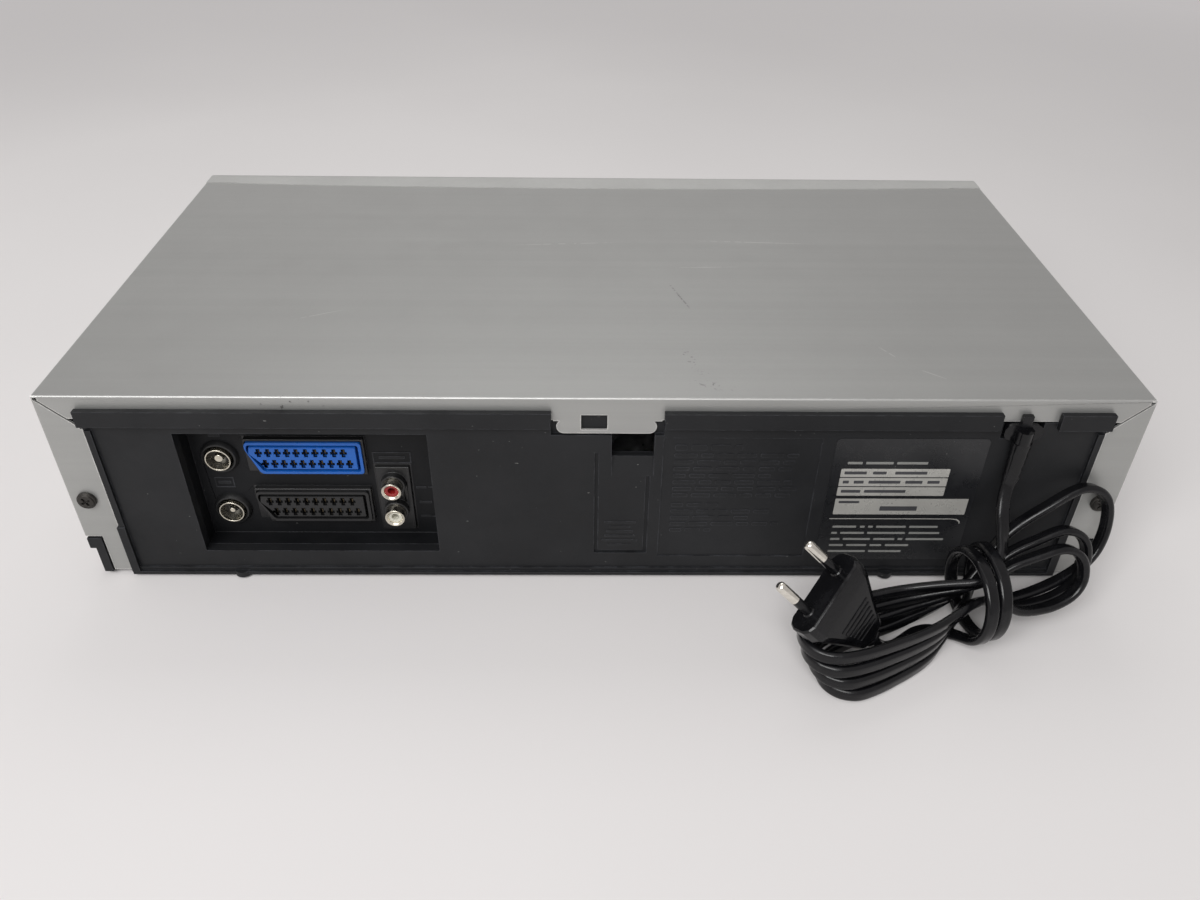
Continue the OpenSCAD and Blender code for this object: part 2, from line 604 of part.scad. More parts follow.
// Front-loading basket: it rides in with the slider, then drops with the cassette
basket_y = [-76, -23];
basket_x = 98;
basket_z = [43.5, 71.9];
basket_pin = [-45, 60];
module cassette_basket() color(zinc) {
    difference() {
        block([-basket_x, basket_x], basket_y, [basket_z[1] - 1, basket_z[1]]);
        block([-60, 60], [basket_y[0] + 14, basket_y[1] - 12], [basket_z[1] - 2, basket_z[1] + 1]);
    }
    both_sides() {
        block([basket_x - 1.2, basket_x], basket_y, basket_z);
        block([basket_x - 12, basket_x], basket_y, [basket_z[0], basket_z[0] + 1.2]);
        block([basket_x - 12, basket_x], [basket_y[1] - 1, basket_y[1]], [basket_z[0], 54]);
        rod_x(basket_pin[0], basket_pin[1], 1.5, [basket_x - eps, 102.2]);
    }
}
slider_z = 76;
module carriage_slider() color([0.30, 0.31, 0.33]) {
    block([-102.4, 102.4], [-58, -32], [slider_z, slider_z + 1.2]);
    both_sides() difference() {
        block([100, 101.2], [-56, -34], [35, slider_z + eps]);
        block([99, 103], [basket_pin[0] - 1.8, basket_pin[0] + 1.8],
            [basket_pin[1] - carry_down - 2, basket_pin[1] + 1.8]);
    }
}
module basket_frame() color(zinc) {
    both_sides() {
        difference() {
            block([103, 104.2], [-80, 74], [deck_top, 82]);
            block([102, 105], [-62, 62], [30, 66]);
        }
        block([104.2 - eps, 107.5], [-60, 74], [deck_top, deck_top + 1.2]);
        block([101.7, 103 + eps], [-72, 14 + carry_in], [slider_z - 1.7, slider_z - 0.3]);
    }
    for (y = [-80, 10, 62]) block([-103.1, 103.1], [y, y + 10], [80.8, 82]);
}

// Mains cord: bushing, lead, tied hank, tail to the plug
cord_exit = [-166, rear_y + 2.9, 74.4];
module strain_relief() color([0.13, 0.13, 0.13]) difference() {
    union() {
        pill_y(cord_exit[0], 78, 15, 7.2, 3, [wall_y[0] - 8, rear_y + 2]);
        rod_z(cord_exit[0], cord_exit[1], 3.4, [cord_exit[2], 80]);
        block([-168, -164], [rear_y + 0.6, rear_y + 2.6], [81, 86]);
    }
    block([-180, -150], [wall_y[0] - 9, wall_y[0] - 2], [70, 77]);
}

// Tube swept along a path, its rings turned no more than the path turns
tube_r = tube_d / 2;
function unit(v) = v / norm(v);
function heading(path, i) = let (last = len(path) - 1)
    i == 0 ? unit(path[1] - path[0]) : i == last ? unit(path[last] - path[last - 1]) :
    unit(unit(path[i + 1] - path[i]) + unit(path[i] - path[i - 1]));
function square_to(v, t) = unit(v - (v * t) * t);
function ring_sides(path) = [for (i = 0, n = square_to([0.3, 0.2, 1], heading(path, 0));
    i < len(path);
    i = i + 1, n = i < len(path) ? square_to(n, heading(path, i)) : n) n];
module tube(path, count) {
    turn = 360 / count;
    last = len(path) - 1;
    normals = ring_sides(path);
    rings = [for (i = [0:last]) let (t = heading(path, i), b = cross(t, normals[i]))
        for (k = [0:count - 1])
            path[i] + tube_r * (cos(k * turn) * normals[i] + sin(k * turn) * b)];
    polyhedron(rings, concat(
        [[for (k = [0:count - 1]) k], [for (k = [count - 1:-1:0]) last * count + k]],
        [for (i = [0:last - 1], k = [0:count - 1]) let (a = i * count, m = (k + 1) % count)
            each [[a + k, a + count + k, a + count + m], [a + k, a + count + m, a + m]]]));
}

// Hank: flat left lobes on the surface, right loops that stand against the panel, both
// drawn in at the tie. The course is given along the hank, across it and up.
tie = [-150, 148.5];
tie_angle = 21;
along = [-cos(tie_angle), -sin(tie_angle), 0];
across = [along[1], -along[0], 0];
function at_tie(a, f, z) = [tie[0], tie[1], z] + a * along + f * across;
hank_turns = 3.5;
loop_rings = 24;
left_reach = [77, 76, 75, 73];
left_wide = [21, 20.5, 19.5, 19];
right_reach = [45, 50, 63];
right_wide = [21, 25, 33];
right_lift = [0.26, 0.3, 0.44];
tie_wide = 3.3;
tie_rise = 5.1;
left_z = 11.9;
right_z = 16.5;
left_tilt = -2;
right_tilt = 75;
function hank_point(u) = let (
    out = sin(360 * u), swing = abs(out), k = floor(u + eps), right = out < -eps,
    stand = 1 / (1 + exp(9 * out)), tilt = left_tilt + (right_tilt - left_tilt) * stand,
    a = -sign(out) * (right ? right_reach[k] : left_reach[k]) * (swing + sin(90 * swing)) / 2,
    wide = right ? right_wide[k] : left_wide[k],
    c = -cos(360 * u) * (tie_wide + (wide - tie_wide) * pow(swing, 0.75))
        - (right ? a * right_lift[k] : 0),
    layer = (hank_turns / 2 - u) * layer_step,
    fan = right ? 0.17 * a : (9 * u / hank_turns - 1.5) * swing)
    at_tie(a, c * cos(tilt) + layer * sin(tilt) + fan, layer * cos(tilt) - c * sin(tilt)
        + left_z + (right_z - left_z) * stand + tie_rise * exp(-pow(a / 16, 2)));
hank_path = [for (i = [0:hank_turns * loop_rings]) hank_point(i / loop_rings)];
hank_last = len(hank_path) - 1;
// Least gap of the hank to itself, on points between its rings
fine_path = [for (i = [0:hank_last - 1], t = [0:0.25:0.75])
    hank_path[i] * (1 - t) + hank_path[i + 1] * t];
function hank_gap() = min([for (i = [0:len(fine_path) - 17], j = [i + 16:len(fine_path) - 1])
    norm(fine_path[i] - fine_path[j])]) - tube_d;

// Lead: from the bushing down behind the binding turns and into the tie
lead_points = [[-166, 119.4, 69.5], [-165.5, 120.5, 60], [-164, 123, 52], [-163, 127.5, 45.5],
    [-162, 134, 40.5], [-160, 141, 37], [-157, 146.5, 33.5]];
lead_path = concat([cord_exit], lead_points,
    [hank_path[0] - tube_d * heading(hank_path, 0), hank_path[0]]);

// Tail: two turns round the tie, then along the surface between the lobes to the plug
bind_z = 20.2;
bind_along = [12.5, 9.8, 7.3, 5.5, 4.8, 4.2, 3.8, 3.4, 3, 2.6, 2, 1.2, 0.2, -0.8, -1.6, -2.3,
    -2.8, -3.2, -3.5, -3.9, -4.4, -5.5];
bind_path = [for (i = [0:len(bind_along) - 1]) at_tie(bind_along[i], bind_r * cos(180 + 30 * i),
    bind_z - bind_r * sin(180 + 30 * i))];
tail_points = [at_tie(-9.5, -4.5, 2.4), at_tie(-16, -5.5, 2.4), at_tie(-25, -2.5, 2.5),
    at_tie(-33, 0.5, 4), at_tie(-40, 3, 8)];

plug_face = [-83.7, 167.2, 39.8];
plug_turn = [0, 43, -1];
plug_roll = 38;
plug_length = 34;
plug_axis = [sin(plug_turn[1]) * cos(plug_turn[2]), sin(plug_turn[1]) * sin(plug_turn[2]),
    cos(plug_turn[1])];
plug_end = plug_face - plug_length * plug_axis;
tail_path = concat([hank_path[hank_last], hank_path[hank_last] + tube_d * heading(hank_path, hank_last)],
    [at_tie(9, -9.3, 10.7), at_tie(12.6, -14, 13.9)], bind_path, tail_points,
    [plug_end - tube_d * plug_axis, plug_end]);

module power_cord_lead() color([0.08, 0.08, 0.08]) tube(lead_path, 8);
module power_cord_hank() color([0.08, 0.08, 0.08]) {
    echo(hank_gap = hank_gap());
    tube(hank_path, 6);
}
module power_cord_tail() color([0.08, 0.08, 0.08]) tube(tail_path, 8);

module at_plug() translate(plug_face) rotate([0, 0, plug_turn[2]]) rotate([0, plug_turn[1], 0])
    rotate([0, 0, plug_roll]) children();
module mains_plug() color([0.09, 0.09, 0.10]) at_plug() {
    hull() {
        translate([0, 0, -7]) linear_extrude(7) polygon([[-17.6, -2.6], [-13.4, -6.8], [13.4, -6.8],
            [17.6, -2.6], [17.6, 2.6], [13.4, 6.8], [-13.4, 6.8], [-17.6, 2.6]]);
        translate([0, 0, -30]) linear_extrude(1) square([14, 8], center = true);
    }
    translate([0, 0, -plug_length]) cylinder(r = 3.4, h = 5);
    for (x = [-9.3, 9.3]) translate([x, 0, -eps]) cylinder(r = 1.9, h = 9);
}
module plug_pins() color(nickel) at_plug()
    for (x = [-9.3, 9.3]) translate([x, 0, 9 - eps]) {
        cylinder(r = 2, h = 9.2);
        translate([0, 0, 9.2]) cylinder(r1 = 2, r2 = 1.3, h = 0.8);
    }

top_cover();
chassis_frame();
bottom_plate();
front_bezel();
cassette_flap();
display_window();
display_tube();
front_board();
button_switches();
push_button("power", silver);  // power_button
push_button("eject", silver);  // eject_button
push_button("rewind", silver);  // rewind_button
push_button("play", silver);  // play_button
push_button("fast_forward", silver);  // fast_forward_button
push_button("stop", silver);  // stop_button
push_button("record", [0.60, 0.12, 0.12]);  // record_button
push_button("channel_up", silver);  // channel_up_button
push_button("channel_down", silver);  // channel_down_button
jack_door();
front_jacks();
feet();
cover_screws();
tuner_can();
socket_bay();
aerial_sockets();
scart_blue();
scart_black();
scart_contacts();
audio_jack_block();
audio_jack_rings();
audio_insert_red();
audio_insert_white();
rating_label();
strain_relief();
power_cord_lead();
power_cord_hank();
power_cord_tail();
mains_plug();
plug_pins();
main_board();
power_board();
transformer();
heat_sink();
deck_plate();
lower_drum();
upper_drum();
capstan_motor();
capstan_rotor();
pinch_arm();
pinch_roller();
supply_reel();
takeup_reel();
loading_motor();
loading_pinion();
cam_gear();
supply_guide();
takeup_guide();
cassette_basket();
carriage_slider();
basket_frame();
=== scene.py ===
import json
import math

import bmesh
import bpy
from mathutils import Matrix, Vector, kdtree


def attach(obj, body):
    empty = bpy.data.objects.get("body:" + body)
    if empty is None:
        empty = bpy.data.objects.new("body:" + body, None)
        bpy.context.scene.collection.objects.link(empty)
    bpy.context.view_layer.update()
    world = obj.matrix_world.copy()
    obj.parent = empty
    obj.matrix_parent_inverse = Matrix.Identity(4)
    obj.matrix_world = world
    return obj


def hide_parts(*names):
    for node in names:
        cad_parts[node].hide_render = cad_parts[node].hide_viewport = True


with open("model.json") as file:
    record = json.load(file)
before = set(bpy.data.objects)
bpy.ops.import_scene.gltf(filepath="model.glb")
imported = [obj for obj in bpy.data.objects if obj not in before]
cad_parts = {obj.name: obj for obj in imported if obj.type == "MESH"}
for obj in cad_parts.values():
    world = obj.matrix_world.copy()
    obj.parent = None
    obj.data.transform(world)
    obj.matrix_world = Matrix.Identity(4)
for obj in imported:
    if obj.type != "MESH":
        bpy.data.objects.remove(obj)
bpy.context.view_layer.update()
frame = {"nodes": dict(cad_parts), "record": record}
NODES = frame["nodes"]
MM = 0.001


# ---------------------------------------------------------------- camera
# The photograph's viewpoint, solved from eleven corners of the body
CAMERA_PLACE = (0.0046113, 0.4273978, 0.2984007)
CAMERA_YAW, CAMERA_PITCH, CAMERA_ROLL = (math.radians(a) for a in (-1.01417, 36.59165, 0.80678))
FOCAL_PIXELS = 979.394
PHOTO_WIDTH = 1200
SENSOR_MM = 36


def make_camera():
    level = math.cos(CAMERA_PITCH)
    forward = Vector((math.sin(CAMERA_YAW) * level, -math.cos(CAMERA_YAW) * level,
                      -math.sin(CAMERA_PITCH)))
    right = forward.cross(Vector((0, 0, 1))).normalized()
    up = right.cross(forward)
    x = right * math.cos(CAMERA_ROLL) + up * math.sin(CAMERA_ROLL)
    y = up * math.cos(CAMERA_ROLL) - right * math.sin(CAMERA_ROLL)
    data = bpy.data.cameras.new("camera")
    data.sensor_fit = "HORIZONTAL"
    data.sensor_width = SENSOR_MM
    data.lens = FOCAL_PIXELS / PHOTO_WIDTH * SENSOR_MM
    data.clip_start = 0.01
    cam = bpy.data.objects.new("camera", data)
    bpy.context.scene.collection.objects.link(cam)
    turn = Matrix((x, y, -forward)).transposed().to_4x4()
    cam.matrix_world = Matrix.Translation(CAMERA_PLACE) @ turn
    bpy.context.scene.camera = cam


make_camera()


# ---------------------------------------------------------------- materials
class Shader:
    """A material's node tree, built a node at a time."""

    def __init__(self, name):
        self.mat = bpy.data.materials.new(name)
        self.mat.use_nodes = True
        self.nodes = self.mat.node_tree.nodes
        self.links = self.mat.node_tree.links
        self.bsdf = next(n for n in self.nodes if n.type == "BSDF_PRINCIPLED")
        self.place = self.add("ShaderNodeTexCoord").outputs["Object"]

    def add(self, kind, **settings):
        node = self.nodes.new(kind)
        for key, value in settings.items():
            setattr(node, key, value)
        return node

    def wire(self, source, socket):
        if hasattr(source, "is_linked"):
            self.links.new(source, socket)
        else:
            socket.default_value = source

    def math(self, operation, a, b=0.0, clamp=False):
        node = self.add("ShaderNodeMath", operation=operation, use_clamp=clamp)
        self.wire(a, node.inputs[0])
        self.wire(b, node.inputs[1])
        return node.outputs[0]

    def stretch(self, scale):
        node = self.add("ShaderNodeMapping")
        node.inputs["Scale"].default_value = scale
        self.links.new(self.place, node.inputs["Vector"])
        return node.outputs[0]

    def noise(self, scale, detail=2.0, rough=0.5, vector=None):
        node = self.add("ShaderNodeTexNoise")
        node.inputs["Scale"].default_value = scale
        node.inputs["Detail"].default_value = detail
        node.inputs["Roughness"].default_value = rough
        self.links.new(vector or self.place, node.inputs["Vector"])
        return node.outputs["Fac"]

    def ramp(self, source, low, high, a, b):
        """Colour from a to b as the source goes from low to high."""
        node = self.add("ShaderNodeValToRGB")
        first, last = node.color_ramp.elements
        first.position, last.position = low, high
        first.color, last.color = (*a, 1), (*b, 1)
        self.links.new(source, node.inputs[0])
        return node.outputs[0]

    def span(self, source, low, high, a, b):
        node = self.add("ShaderNodeMapRange")
        for key, value in (("From Min", low), ("From Max", high), ("To Min", a), ("To Max", b)):
            node.inputs[key].default_value = value
        self.links.new(source, node.inputs["Value"])
        return node.outputs[0]

    def mix(self, amount, a, b):
        node = self.add("ShaderNodeMix", data_type="RGBA")
        self.wire(amount, node.inputs[0])
        for value, socket in ((a, node.inputs[6]), (b, node.inputs[7])):
            self.wire(value if hasattr(value, "is_linked") else (*value, 1), socket)
        return node.outputs[2]

    def bump(self, height, depth, strength=1.0):
        node = self.add("ShaderNodeBump")
        node.inputs["Distance"].default_value = depth
        node.inputs["Strength"].default_value = strength
        self.links.new(height, node.inputs["Height"])
        self.links.new(node.outputs[0], self.bsdf.inputs["Normal"])

    def colour(self, source):
        self.links.new(source, self.bsdf.inputs["Base Color"])

    def rough(self, source):
        self.wire(source, self.bsdf.inputs["Roughness"])

    def metal(self, amount):
        self.bsdf.inputs["Metallic"].default_value = amount


def tint(colour, factor):
    return tuple(min(1.0, c * factor) for c in colour)


def plain(name, colour, rough=0.5, metal=0.0, vary=0.1, scale=260, grain=2600, depth=0.00002,
          dust=0.0, coat=0.0, sheen=0.5):
    """Moulded or rolled material: broad colour change, fine grain in gloss and bump, dust."""
    s = Shader(name)
    broad = s.noise(scale * 0.12, 4, 0.6)
    fine = s.noise(grain, 2, 0.6)
    body = s.ramp(s.math("ADD", s.math("MULTIPLY", broad, 0.75), s.math("MULTIPLY", fine, 0.25)),
                  0.35, 0.65, tint(colour, 1 - vary), tint(colour, 1 + vary))
    if dust:
        specks = s.math("GREATER_THAN", s.noise(scale * 2.4, 3, 0.55), 0.735)
        body = s.mix(s.math("MULTIPLY", specks, dust), body, (0.32, 0.31, 0.29))
    s.colour(body)
    s.rough(s.span(s.noise(scale, 3, 0.6), 0.3, 0.7, max(0.04, rough - 0.07), min(1, rough + 0.07)))
    s.metal(metal)
    s.bsdf.inputs["Coat Weight"].default_value = coat
    s.bsdf.inputs["Specular IOR Level"].default_value = sheen
    s.bump(fine, depth)
    return s.mat


def edge_wear_and_highlight(s, base, edge_colour, radius, amount, least=0.1):
    """Rubbed edges with a painted highlight: a lighter colour where the surface turns, broken up by
    a noise.
    """
    turned_in = s.add("ShaderNodeBevel", samples=4)
    turned_in.inputs["Radius"].default_value = radius
    agree = s.add("ShaderNodeVectorMath", operation="DOT_PRODUCT")
    s.links.new(turned_in.outputs[0], agree.inputs[0])
    s.links.new(s.add("ShaderNodeNewGeometry").outputs["Normal"], agree.inputs[1])
    broken = s.span(s.noise(150, 5, 0.7), 0.42, 0.58, least, 1)
    wear_and_highlight = s.math("MULTIPLY", s.span(agree.outputs["Value"], 0.97, 0.80, 0, amount), broken)
    return s.mix(wear_and_highlight, base, edge_colour)


def stroke(s, centre, angle, length, width, level, grain):
    """Soft mask of one straight mark on the cover's top, broken into flecks by a grain."""
    node = s.add("ShaderNodeMapping", vector_type="TEXTURE")
    node.inputs["Location"].default_value = (centre[0], centre[1], 0)
    node.inputs["Rotation"].default_value = (0, 0, math.radians(angle))
    node.inputs["Scale"].default_value = (length / 2, width / 2, 1)
    s.links.new(s.place, node.inputs["Vector"])
    axes = s.add("ShaderNodeSeparateXYZ")
    s.links.new(node.outputs[0], axes.inputs[0])
    along = s.math("SUBTRACT", 1.0, s.math("ABSOLUTE", axes.outputs["X"]), clamp=True)
    aside = s.math("SUBTRACT", 1.0, s.math("ABSOLUTE", axes.outputs["Y"]), clamp=True)
    mask = s.math("MULTIPLY", s.math("POWER", along, 0.5), aside)
    return s.math("MULTIPLY", mask, s.span(s.noise(grain, 2, 0.6), level, level + 0.05, 0, 1))


def strokes(s, marks, grain):
    """One mask of several marks, each with its centre, angle, length, width and level."""
    masks = [stroke(s, *mark, grain) for mark in marks]
    whole = masks[0]
    for mask in masks[1:]:
        whole = s.math("MAXIMUM", whole, mask)
    return whole


SCRATCHES = (((-0.1195, 0.082), -58, 0.012, 0.0007, 0.40),
             ((-0.133, 0.098), -38, 0.012, 0.0007, 0.40),
             ((0.016, -0.021), 4, 0.050, 0.0009, 0.40),
             ((-0.078, -0.024), -3, 0.060, 0.0009, 0.40),
             ((-0.052, 0.004), 2, 0.030, 0.0008, 0.40),
             ((0.120, 0.052), 24, 0.022, 0.0006, 0.40))
SCUFFS = (((-0.0385, 0.089), -66, 0.024, 0.009, 0.62),
          ((-0.0445, 0.107), -22, 0.018, 0.006, 0.58),
          ((-0.037, 0.033), -72, 0.026, 0.0012, 0.45),
          ((0.1185, 0.1165), 0, 0.03, 0.006, 0.66))


def painted_sheet(name):
    """Satin silver paint on steel: fine flake, rolled streaks, scratches, scuffs, worn bends with a
    painted highlight.
    """
    s = Shader(name)
    flake = s.noise(5200, 1, 0.5)
    broad = s.noise(5, 2, 0.5)
    streak = s.noise(16, 4, 0.7, s.stretch((0.06, 9, 9)))
    blend = s.math("ADD", s.math("MULTIPLY", broad, 0.3),
                   s.math("ADD", s.math("MULTIPLY", flake, 0.35), s.math("MULTIPLY", streak, 0.35)))
    base = s.ramp(blend, 0.38, 0.62, (0.340, 0.341, 0.331), (0.378, 0.379, 0.368))
    base = s.mix(s.math("MULTIPLY", strokes(s, SCRATCHES, 260), 0.75), base, (0.60, 0.60, 0.58))
    base = s.mix(s.math("MULTIPLY", strokes(s, SCUFFS, 520), 0.8), base, (0.085, 0.083, 0.08))
    # Near-white bends: worn paint and a painted highlight of the light along the folds
    s.colour(edge_wear_and_highlight(s, base, (0.90, 0.89, 0.86), 0.0009, 1.0, 0.45))
    s.rough(s.span(s.noise(70, 3, 0.6), 0.3, 0.7, 0.36, 0.45))
    s.metal(0.55)
    s.bump(flake, 0.000008)
    return s.mat


def textured_plastic(name, colour, rough=0.55, sheen=0.31):
    """Black moulding with a spark-eroded grain, dust in it, greyer rubbed places and a painted
    highlight on its edges.
    """
    s = Shader(name)
    grain = s.noise(1900, 3, 0.65)
    broad = s.noise(22, 4, 0.6)
    base = s.ramp(broad, 0.35, 0.68, tint(colour, 0.82), tint(colour, 1.25))
    base = s.mix(s.span(grain, 0.58, 0.75, 0, 0.35), base, tint(colour, 2.1))
    # Lighter edges: rubbed wear and a painted highlight along the rims
    base = edge_wear_and_highlight(s, base, tint(colour, 8), 0.0006, 0.7)
    lint = s.math("GREATER_THAN", s.noise(420, 2, 0.5, s.stretch((1, 1, 2.2))), 0.765)
    s.colour(s.mix(s.math("MULTIPLY", lint, 0.5), base, (0.30, 0.30, 0.29)))
    s.rough(s.span(s.noise(60, 3, 0.6), 0.3, 0.7, rough - 0.09, rough + 0.09))
    s.bsdf.inputs["Specular IOR Level"].default_value = sheen
    s.bump(grain, 0.00003, 0.8)
    return s.mat


def plated(name, colour, rough):
    """Nickel or tin plating: bright, a little cloudy, with handling marks."""
    s = Shader(name)
    cloud = s.noise(330, 4, 0.6)
    s.colour(s.ramp(cloud, 0.3, 0.7, tint(colour, 0.82), tint(colour, 1.1)))
    s.rough(s.span(s.noise(900, 3, 0.6), 0.3, 0.7, rough - 0.08, rough + 0.12))
    s.metal(1.0)
    s.bump(s.noise(1500, 2, 0.5), 0.00001)
    return s.mat


def turned(name, colour, rough):
    """Turned metal: fine bands of gloss, one above the other."""
    s = Shader(name)
    bands = s.noise(2600, 1, 0.5, s.stretch((0.05, 0.05, 1)))
    s.colour(s.ramp(s.noise(150, 3, 0.6), 0.3, 0.7, tint(colour, 0.9), tint(colour, 1.08)))
    s.rough(s.span(bands, 0.3, 0.7, rough - 0.08, rough + 0.12))
    s.metal(1.0)
    s.bump(bands, 0.000002)
    return s.mat


def board(name, colour, track):
    """Circuit board: solder mask with faint tracks under it."""
    s = Shader(name)
    brick = s.add("ShaderNodeTexBrick")
    brick.inputs["Scale"].default_value = 90
    brick.inputs["Mortar Size"].default_value = 0.012
    s.links.new(s.place, brick.inputs["Vector"])
    base = s.ramp(s.noise(40, 3, 0.6), 0.3, 0.7, tint(colour, 0.85), tint(colour, 1.15))
    s.colour(s.mix(s.math("MULTIPLY", brick.outputs["Fac"], 0.7), base, track))
    s.rough(s.span(s.noise(300, 2, 0.5), 0.3, 0.7, 0.3, 0.45))
    s.bump(brick.outputs["Fac"], 0.00003)
    return s.mat


def flexible(name, colour):
    """Plasticised sheath: glossy black with dull rubs, dust and a faint draw grain."""
    s = Shader(name)
    rub = s.noise(120, 4, 0.65)
    base = s.ramp(rub, 0.40, 0.75, colour, tint(colour, 1.8))
    dust = s.math("GREATER_THAN", s.noise(900, 2, 0.5), 0.775)
    s.colour(s.mix(s.math("MULTIPLY", dust, 0.25), base, (0.28, 0.28, 0.27)))
    s.rough(s.span(rub, 0.35, 0.7, 0.11, 0.35))
    s.bsdf.inputs["Specular IOR Level"].default_value = 0.33
    s.bump(s.noise(700, 3, 0.6), 0.00003)
    return s.mat


M = {
    "cover_paint": painted_sheet("cover_paint"),
    "bezel_plastic": plain("bezel_plastic", (0.47, 0.47, 0.455), 0.42, 0.25, 0.05, grain=4200,
                           depth=0.00001),
    "chassis_plastic": textured_plastic("chassis_plastic", (0.0088, 0.0092, 0.0104)),
    "plate_zinc": plated("plate_zinc", (0.60, 0.61, 0.60), 0.38),
    "window_dark": plain("window_dark", (0.012, 0.012, 0.016), 0.12, 0.0, 0.2, coat=0.5,
                         depth=0.000004),
    "tube_glass": plain("tube_glass", (0.06, 0.11, 0.10), 0.12, 0.0, 0.25, coat=0.6,
                        depth=0.000004),
    "board_green": board("board_green", (0.035, 0.13, 0.05), (0.09, 0.24, 0.10)),
    "board_brown": board("board_brown", (0.26, 0.16, 0.07), (0.36, 0.24, 0.12)),
    "switch_black": plain("switch_black", (0.03, 0.03, 0.03), 0.45),
    "button_silver": plain("button_silver", (0.50, 0.50, 0.485), 0.38, 0.3, 0.05, grain=4200,
                           depth=0.00001),
    "button_red": plain("button_red", (0.38, 0.035, 0.03), 0.4, 0.0, 0.08),
    "socket_nickel": plated("socket_nickel", (0.74, 0.70, 0.60), 0.2),
    "socket_blue": plain("socket_blue", (0.006, 0.088, 0.37), 0.32, 0.0, 0.12, depth=0.00001,
                         dust=0.12),
    "socket_black": plain("socket_black", (0.010, 0.010, 0.0105), 0.36, 0.0, 0.2, dust=0.2),
    "contact_gold": plated("contact_gold", (0.16, 0.13, 0.085), 0.45),
    "insert_red": plain("insert_red", (0.25, 0.012, 0.012), 0.35, 0.0, 0.12),
    "insert_white": plain("insert_white", (0.58, 0.565, 0.49), 0.35, 0.0, 0.06),
    "label_film": plain("label_film", (0.011, 0.0115, 0.013), 0.3, 0.0, 0.15, depth=0.000006,
                        dust=0.35),
    "foot_rubber": plain("foot_rubber", (0.03, 0.03, 0.03), 0.8, 0.0, 0.2),
    "screw_black": plain("screw_black", (0.045, 0.042, 0.038), 0.36, 0.7, 0.3),
    "cord_rubber": flexible("cord_rubber", (0.0035, 0.0035, 0.0042)),
    "pin_nickel": plated("pin_nickel", (0.80, 0.77, 0.70), 0.16),
    "can_tin": plated("can_tin", (0.62, 0.62, 0.60), 0.3),
    "core_iron": plain("core_iron", (0.13, 0.085, 0.05), 0.4, 0.2, 0.3),
    "drum_alloy": turned("drum_alloy", (0.62, 0.63, 0.64), 0.34),
    "motor_steel": turned("motor_steel", (0.40, 0.41, 0.43), 0.35),
    "gear_nylon": plain("gear_nylon", (0.70, 0.68, 0.60), 0.45, 0.0, 0.06),
    "slider_plastic": plain("slider_plastic", (0.06, 0.06, 0.065), 0.5),
    "roller_rubber": plain("roller_rubber", (0.022, 0.022, 0.022), 0.7, 0.0, 0.25),
}
print_silver = plain("print_silver", (0.50, 0.49, 0.46), 0.3, 0.35, 0.12, depth=0.000006,
                     dust=0.3)
print_ink = plain("print_ink", (0.05, 0.05, 0.055), 0.4, 0.0, 0.2, depth=0.000006)
print_light = plain("print_light", (0.21, 0.21, 0.20), 0.45, 0.0, 0.15, depth=0.000006)
# Darker copy of the chassis plastic: painted shade on the socket bay's walls and floor
bay_plastic_painted_shade = textured_plastic("bay_plastic_painted_shade", (0.0050, 0.0053, 0.0062), 0.5, 0.22)
# Near-black with little gloss: painted shade behind the socket slots and the cover's seams
painted_shade_black = plain("painted_shade_black", (0.002, 0.002, 0.0022), 0.8, 0.0, 0.3, sheen=0.08)

SLOT_OF = {row["node"]: row["material_slot"] for row in frame["record"]["subparts"]}
BODY_OF = {node: body for body, nodes in frame["record"]["behaviour"]["bodies"].items()
           for node in nodes}

for node_name, node_object in NODES.items():
    node_object.data.materials.clear()
    node_object.data.materials.append(M[SLOT_OF[node_name]])


# ---------------------------------------------------------------- mesh helpers
def finish_piece(bm, name, material, body="case", sharp=30):
    """Turn the mesh into an object that rides on a body; edges past the angle stay sharp."""
    bmesh.ops.recalc_face_normals(bm, faces=bm.faces)
    mesh = bpy.data.meshes.new(name)
    bm.to_mesh(mesh)
    bm.free()
    for polygon in mesh.polygons:
        polygon.use_smooth = True
    mesh.set_sharp_from_angle(angle=math.radians(sharp))
    mesh.materials.append(material)
    piece = bpy.data.objects.new(name, mesh)
    bpy.context.scene.collection.objects.link(piece)
    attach(piece, body)
    return piece


def node_mesh(node):
    """A node's mesh with its flat faces joined again, as far as they stay convex."""
    bm = bmesh.new()
    bm.from_mesh(NODES[node].data)
    bmesh.ops.remove_doubles(bm, verts=bm.verts, dist=1e-6)
    bmesh.ops.dissolve_limit(bm, angle_limit=math.radians(0.6), verts=bm.verts, edges=bm.edges)
    return bm


def round_edges(bm, chosen, width, segments=4, clamp=False):
    """Round the sharp edges whose two ends both pass the test, given in millimetres."""
    edges = [e for e in bm.edges if len(e.link_faces) == 2 and e.calc_face_angle(0) > 0.7
             and all(chosen(v.co / MM) for v in e.verts)]
    bmesh.ops.bevel(bm, geom=edges, offset=width, offset_type="OFFSET", segments=segments,
                    profile=0.5, affect="EDGES", clamp_overlap=clamp)


def soften(piece, width, segments=2, angle=28):
    """Real rounded edges: a small bevel and normals that follow the large faces."""
    bevel = piece.modifiers.new("edges", "BEVEL")
    bevel.width = width
    bevel.segments = segments
    bevel.limit_method = "ANGLE"
    bevel.angle_limit = math.radians(angle)
    bevel.miter_outer = "MITER_ARC"
    weighted = piece.modifiers.new("normals", "WEIGHTED_NORMAL")
    weighted.weight = 60


def dress(node, width, edit=None, segments=2, material=None):
    """The node's own form with rounded edges, standing for it."""
    bm = node_mesh(node)
    if edit:
        edit(bm)
    bmesh.ops.connect_verts_concave(bm, faces=[f for f in bm.faces if len(f.verts) > 4])
    slot = SLOT_OF[node]
    piece = finish_piece(bm, node + "_skin", material or M[slot], BODY_OF[node], 180)
    soften(piece, width, segments)
    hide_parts(node)


